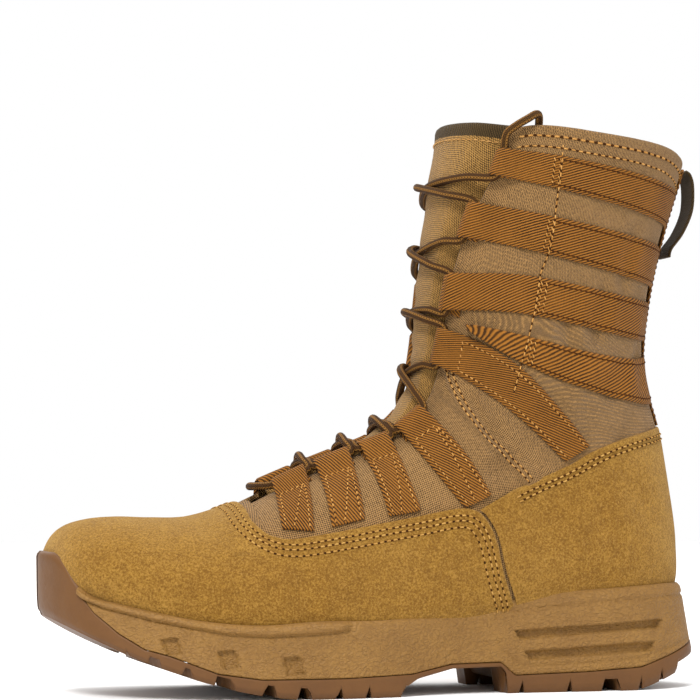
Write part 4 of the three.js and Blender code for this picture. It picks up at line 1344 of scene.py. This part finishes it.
# ---- vent eyelets ---------------------------------------------------------------------------
def build_vents():
    """The two metal vent eyelets on the medial side."""
    outline = curve(np.array([[2.7, -4.0], [2.7, -1.0], [2.9, 0.55], [3.5, 1.15], [4.5, 1.1], [5.4, 0.7],
                              [5.75, 0.1], [5.7, -0.3]]), 26)
    for name, row, distance in (("rear", 10.6, -80.0), ("front", 9.45, -79.0)):
        parts = Parts()
        v = turn_at(row, distance)
        seat = on_last(row, v) + normal_at(np.array(row), np.array(v)) * (SKIN_OUT + 0.3)
        axis = normal_at(np.array(row), np.array(v))
        side = unit(np.cross(axis, [0.2, 0.1, 1.0]))
        other = np.cross(axis, side)
        a = np.linspace(0, 2 * math.pi, 48, endpoint=False)
        ring = side[None] * np.cos(a)[:, None] + other[None] * np.sin(a)[:, None]
        grid = seat + ring[None] * outline[:, 0, None, None] + axis * outline[:, 1, None, None]
        parts.grid(grid, 0, wrap=True, flip=True)
        # A dark disc closing the eyelet's hole: painted shade for the shaded inside of the boot.
        shaded_hole_disc = seat + ring[None] * np.array([2.8, 0.01])[:, None, None] - axis * 2.2
        parts.grid(shaded_hole_disc, 1, wrap=True, flip=True)
        piece = parts.piece(f"vent_{name}", [NICKEL, DARK_THREAD_AND_VENT_SHADE])
        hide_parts(f"vent_eyelet_{name}")


build_vents()


# ---- sole -----------------------------------------------------------------------------------
# Round the sole: x, lateral y, medial y, the wall's lean and its top's height. The first row and
# the last lie past the middle, on the other side, so that the curve runs on through it.
STATIONS = np.array([
    [-43.5, -13, 13, 7, 50], [-45.5, 0, 0, 7, 50], [-43.5, 13, -13, 7, 50], [-37, 24.5, -24.5, 5.5, 50],
    [-24, 33, -33, 3.5, 50], [-5, 38, -37.5, 2, 49], [20, 39.2, -38.3, 2, 47.5], [48, 39.2, -37, 2, 45],
    [75, 41.5, -36.3, 2, 39.5], [98, 45.8, -38, 2, 37], [122, 51.5, -43, 2, 35], [152, 54.8, -49.5, 2, 35],
    [180, 54.2, -52.3, 2, 33.5], [205, 50.8, -52.3, 1.8, 35.3], [225, 46, -50.6, 1.5, 39],
    [243, 38.5, -46.5, 1.2, 43.2], [254, 31, -42, 1, 46.3], [260, 25, -37.5, 0.8, 52],
    [264.5, 19, -32.5, 0.5, 61], [268.6, 11.5, -25.5, 0.3, 65.5], [271.6, 2, -16, 0.2, 66.3],
    [272.5, -7, -7, 0.2, 66.5], [271.6, -16, 2, 0.2, 66.3],
])
SX, S_LAT, S_MED, S_LEAN, S_TOP = range(5)
# Shares of the wall's height, and how far it stands out there.
WALL_OUT = [[0, -1.6], [0.03, -0.7], [0.08, 0], [0.5, 0.35], [0.9, 0.6], [0.96, 0.35], [1, -0.7]]
# Side view lines: where foam meets rubber, and the rubber's height between its lugs.
SPLIT = np.array([[-80, 32], [-46, 23.5], [-27, 17], [-8, 11], [20, 9.3], [56, 8.3], [63, 14.5], [88, 14.2],
                  [108, 10.3], [140, 9.2], [180, 9.2], [200, 12], [221, 20], [232, 23], [243, 30], [253, 39],
                  [259.5, 48]])
BASE = np.array([[-80, 27], [-46, 19], [-27, 12], [-8, 6], [57.5, 5.4], [63, 12.6], [88, 12.2], [106, 8.2],
                 [111, 5.2], [158, 5.2], [175, 6.6], [192, 9.2], [212, 14.4], [232, 21], [239, 22.4]])
BUMPER_X = 259.5
LUG_END_X = 239.2
# Where each edge lug starts and ends in x, and where the middle ones start.
EDGE_LUGS = [
    [-31.4, -22.4], [-21.2, -10.8], [-9.4, 1.3], [9.6, 25], [27, 49], [50.5, 58], [111.5, 128], [130, 142],
    [144, 157], [162, 172.4], [177.6, 191.5], [199.4, 209.4], [213.2, 222.6], [227.6, 236],
]
MIDDLE_LUGS = [-7, 13, 33, 124, 147, 170, 193, 216]
STATION_COUNT = 400
COUNTER_X = 60
COUNTER_RISE = 2.6


def tread_at(x):
    """Height of the lugs' lowest points: the toe springs up and the heel is bevelled."""
    spring = np.maximum(0, (x - 158) / 114.5) ** 1.75
    bevel = np.maximum(0, (-5 - x) / 40.5) ** 1.2
    return 38 * spring + 15 * bevel


def bar(x, low, high, soft=0.5):
    """1 between low and high, falling to 0 over soft mm at each end."""
    return np.clip((x - low) / soft + 0.5, 0, 1) * np.clip((high - x) / soft + 0.5, 0, 1)


def lug_share(x, y):
    """1 on a lug, 0 between lugs, for the edge lugs and the arrow-shaped middle ones."""
    total = np.zeros(np.broadcast(x, y).shape)
    slant = 4 * (70 - np.abs(y)) / 49
    outer = np.clip((np.abs(y) - 21) / 0.6 + 0.5, 0, 1)
    for low, high in EDGE_LUGS:
        total = np.maximum(total, outer * bar(x - slant, low, high))
    inner = np.clip((17 - np.abs(y)) / 0.6 + 0.5, 0, 1)
    point = 4 * (1 - np.abs(y) / 17)
    for low in MIDDLE_LUGS:
        total = np.maximum(total, inner * bar(x - point, low, low + 12))
    return total


def ground_at(x, y):
    """Height of the outsole's underside."""
    tread = tread_at(x)
    base = np.maximum(np.interp(x, BASE[:, 0], BASE[:, 1]), tread)
    share = np.where(x > LUG_END_X, 1.0, lug_share(x, y))
    return mix(base, tread, share)


def station_table():
    """Dense stations round the sole, and each side's y and outward direction."""
    t = np.linspace(0.12, len(STATIONS) - 3 - 0.12, STATION_COUNT)
    here, before, after = (catmull(STATIONS, t + 1 + k) for k in (0, -0.05, 0.05))
    x = here[:, SX]
    step = np.exp(-(((x - COUNTER_X + 14) / 16) ** 2)) * smooth((COUNTER_X - x) / 5 + 0.5)
    sag = np.exp(-(((x - COUNTER_X - 14) / 18) ** 2)) * smooth((x - COUNTER_X) / 5 + 0.5)
    here[:, S_TOP] += COUNTER_RISE * step - COUNTER_RISE * 0.6 * sag
    sides = []
    for column, turn in ((S_LAT, 1), (S_MED, -1)):
        along = np.stack([after[:, SX] - before[:, SX], after[:, column] - before[:, column]], 1)
        out = unit(np.stack([-along[:, 1], along[:, 0]], 1)) * turn
        sides.append((here[:, column], out))
    return here, sides


def near_line(x, z, line, width):
    """1 on a side view line, fading over width mm."""
    line = np.asarray(line, float)
    best = np.full(np.broadcast(x, z).shape, 1e9)
    for a, b in zip(line[:-1], line[1:]):
        ab = b - a
        t = np.clip(((x - a[0]) * ab[0] + (z - a[1]) * ab[1]) / (ab @ ab), 0, 1)
        best = np.minimum(best, np.hypot(x - a[0] - t * ab[0], z - a[1] - t * ab[1]))
    return np.exp(-((best / width) ** 2))


def in_quad(x, z, corners, soft=0.45):
    """1 inside a convex side view outline (counter-clockwise), falling off over soft mm."""
    inside_by = np.full(np.broadcast(x, z).shape, 1e9)
    corners = np.asarray(corners, float)
    for a, b in zip(corners, np.roll(corners, -1, axis=0)):
        d = b - a
        inside_by = np.minimum(inside_by, (d[0] * (z - a[1]) - d[1] * (x - a[0])) / np.hypot(*d))
    return np.clip(inside_by / soft + 0.5, 0, 1)


# The lower line of the rolled band along the forefoot's wall, then hollows by their corners.
ROLL = [
    [263, 47], [249, 41.4], [228, 35.8], [214.6, 33.2], [195.9, 29.6], [179.3, 28.4], [154.2, 29.2],
    [139.4, 30.6],
]
HEEL_SLOTS = [
    [[-19.2, 29.2], [53.0, 25.0], [55.4, 28.8], [-20.2, 33.2]],
    [[-14.4, 18.6], [48.0, 15.4], [50.4, 19.2], [-15.2, 22.7]],
]
RECESSES = [
    [[216.4, 21.4], [222.4, 20.6], [225.0, 27.4], [218.2, 28.4]],
    [[190.8, 15.2], [197.6, 14.2], [200.0, 22.0], [192.6, 22.8]],
    [[161.0, 11.6], [168.4, 11.2], [170.8, 19.0], [163.0, 19.6]],
]


def wall_relief(x, z, top):
    """The side wall's own details: the rolled band, heel slots, recesses and moulded lines."""
    roll_low = np.interp(x, [p[0] for p in ROLL[::-1]], [p[1] for p in ROLL[::-1]])
    in_roll = np.clip((x - ROLL[-1][0] - (top - z) * 0.55) / 1.0 + 0.5, 0, 1) * np.clip((262 - x) / 3, 0, 1)
    height = np.maximum(top - roll_low, 1)
    share = np.clip((z - roll_low) / height, 0, 1)
    band = 1.7 * np.sqrt(np.clip(1 - (2 * share - 1) ** 2, 0, 1)) * (z > roll_low) * in_roll
    out = band - 0.8 * near_line(x, z, ROLL, 0.8) * (x > 138)
    out = out - 0.7 * near_line(x, z, [[139.0, 30.4], [136.4, 36.5]], 0.9)
    out = out - 0.45 * near_line(x, z, [[139.0, 30.0], [136.6, 26.5], [135.2, 22.0]], 1.0)
    for slot in HEEL_SLOTS:
        out = out - 3.0 * in_quad(x, z, slot, 0.35)
    for recess in RECESSES:
        out = out - 2.2 * in_quad(x, z, recess, 0.35)
    ledge = [[66, 34.5], [60, 38.4], [40, 39.4], [0, 42.6], [-30, 44.2], [-46, 45]]
    out = out - 0.7 * near_line(x, z, ledge, 0.9)
    foot = [[62, 20], [52, 12.6], [20, 13.2], [-8, 15.2], [-40, 24]]
    out = out - 0.5 * near_line(x, z, foot, 0.8)
    return out


def wall_point(here, y, direction, z, extra):
    """Points of the side wall at heights z for each station, moved out by extra."""
    tread, top = tread_at(here[:, SX]), here[:, S_TOP]
    share = np.clip((z - tread) / (top - tread), 0, 1)
    profile = np.interp(share, [p[0] for p in WALL_OUT], [p[1] for p in WALL_OUT])
    move = profile - here[:, S_LEAN] * share + extra
    return np.stack([here[:, SX] + direction[:, 0] * move, y + direction[:, 1] * move, z], -1)


def round_the_sole(build):
    """One list of columns for both sides: build(side) for lateral, heel to toe and back."""
    here, sides = station_table()
    lateral = build(here, *sides[0])
    medial = build(here, *sides[1])
    return np.concatenate([lateral[:, ::-1], medial], axis=1)


def build_midsole():
    """The foam side wall, from the rubber up to its lip."""
    parts = Parts()
    share = np.linspace(0, 1, 52)

    def wall(here, y, direction):
        x, top = here[:, SX], here[:, S_TOP]
        split = np.minimum(np.interp(x, SPLIT[:, 0], SPLIT[:, 1]) + 0.15, top - 0.5)
        rows = []
        for k, s in enumerate(share):
            z = mix(split, top, s)
            edge = -0.45 if k == 0 else 0.0
            rows.append(wall_point(here, y, direction, z, wall_relief(x, z, top) + edge))
        for inward, drop in ((0.9, -0.1), (2.2, 0.25), (4.5, 0.8), (7.0, 1.2)):
            row = wall_point(here, y, direction, top, -inward)
            row[:, 2] -= drop
            rows.append(row)
        under = wall_point(here, y, direction, split, -4.0)
        grid = np.stack([under] + rows)
        return grid[:, x < BUMPER_X]

    parts.grid(round_the_sole(wall), 0, flip=True)
    piece = parts.piece("midsole_wall", [FOAM])
    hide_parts("midsole")


def build_outsole():
    """The rubber: its side wall and its lugged underside."""
    parts = Parts()

    def wall(here, y, direction):
        x, top = here[:, SX], here[:, S_TOP]
        split = np.where(x < BUMPER_X, np.minimum(np.interp(x, SPLIT[:, 0], SPLIT[:, 1]) - 0.15, top), top)
        low = wall_point(here, y, direction, tread_at(x), 0)
        ground = ground_at(low[:, 0], low[:, 1])
        rows = []
        for s in np.linspace(0, 1, 22):
            z = mix(ground, split, s)
            swell = 0.25 * smooth((s - 0.1) / 0.2) * (1 - smooth((s - 0.9) / 0.1))
            rows.append(wall_point(here, y, direction, z, swell))
        for inward, drop in ((1.0, 0.0), (3.0, 0.3), (6.0, 0.6)):
            row = wall_point(here, y, direction, split, -inward)
            row[:, 2] -= drop
            rows.append(row)
        return np.stack(rows)

    parts.grid(round_the_sole(wall), 0, flip=True)
    here, sides = station_table()
    edges = [wall_point(here, y, direction, tread_at(here[:, SX]), 0) for y, direction in sides]
    share = np.linspace(0, 1, 96)
    share = np.sin(math.pi * (share - 0.5)) / 2 + 0.5
    plan = mix(edges[0][None], edges[1][None], share[:, None, None])
    plan[..., 2] = ground_at(plan[..., 0], plan[..., 1])
    parts.grid(plan, 0, flip=False)
    piece = parts.piece("outsole_rubber_body", [RUBBER])
    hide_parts("outsole")


build_midsole()
build_outsole()


# ---- stage, finish --------------------------------------------------------------------------
seam_piece = seams.piece("suede_stitches", [TAN_THREAD, HOLE_SHADE])


def studio():
    """The pale floor, the even world light and four soft lamps."""
    bpy.ops.mesh.primitive_plane_add(size=8, location=(0, 0, 0))
    floor = bpy.context.object
    floor.name = "floor"
    paint = Shader("floor_paint", roughness=0.9, specular=0.1)
    tone = paint.mix(paint.noise(900, 2), srgb(250, 250, 250), srgb(246, 246, 246))
    floor.data.materials.append(paint.done(tone))
    world = bpy.data.worlds.new("studio")
    bpy.context.scene.world = world
    world.use_nodes = True
    world.node_tree.nodes["Background"].inputs[0].default_value = (1, 1, 1, 1)
    world.node_tree.nodes["Background"].inputs[1].default_value = 1.0
    bpy.context.scene.view_settings.view_transform = "Standard"
    lamps = [
        ("key", (1.1, 1.7, 2.0), 66, 0.8),
        ("fill", (-1.3, 1.6, 0.9), 4, 1.6),
        ("top", (0.1, 0.1, 2.4), 26, 1.0),
        ("rim", (0.4, -1.8, 1.4), 12, 1.4),
    ]
    for name, at, power, size in lamps:
        light = bpy.data.lights.new(name, "AREA")
        light.energy, light.size = power, size
        lamp = bpy.data.objects.new(name, light)
        lamp.location = at
        aim = Vector((0.1, 0, 0.12)) - Vector(at)
        lamp.rotation_mode = "QUATERNION"
        lamp.rotation_quaternion = aim.to_track_quat("-Z", "Y")
        bpy.context.scene.collection.objects.link(lamp)


studio()
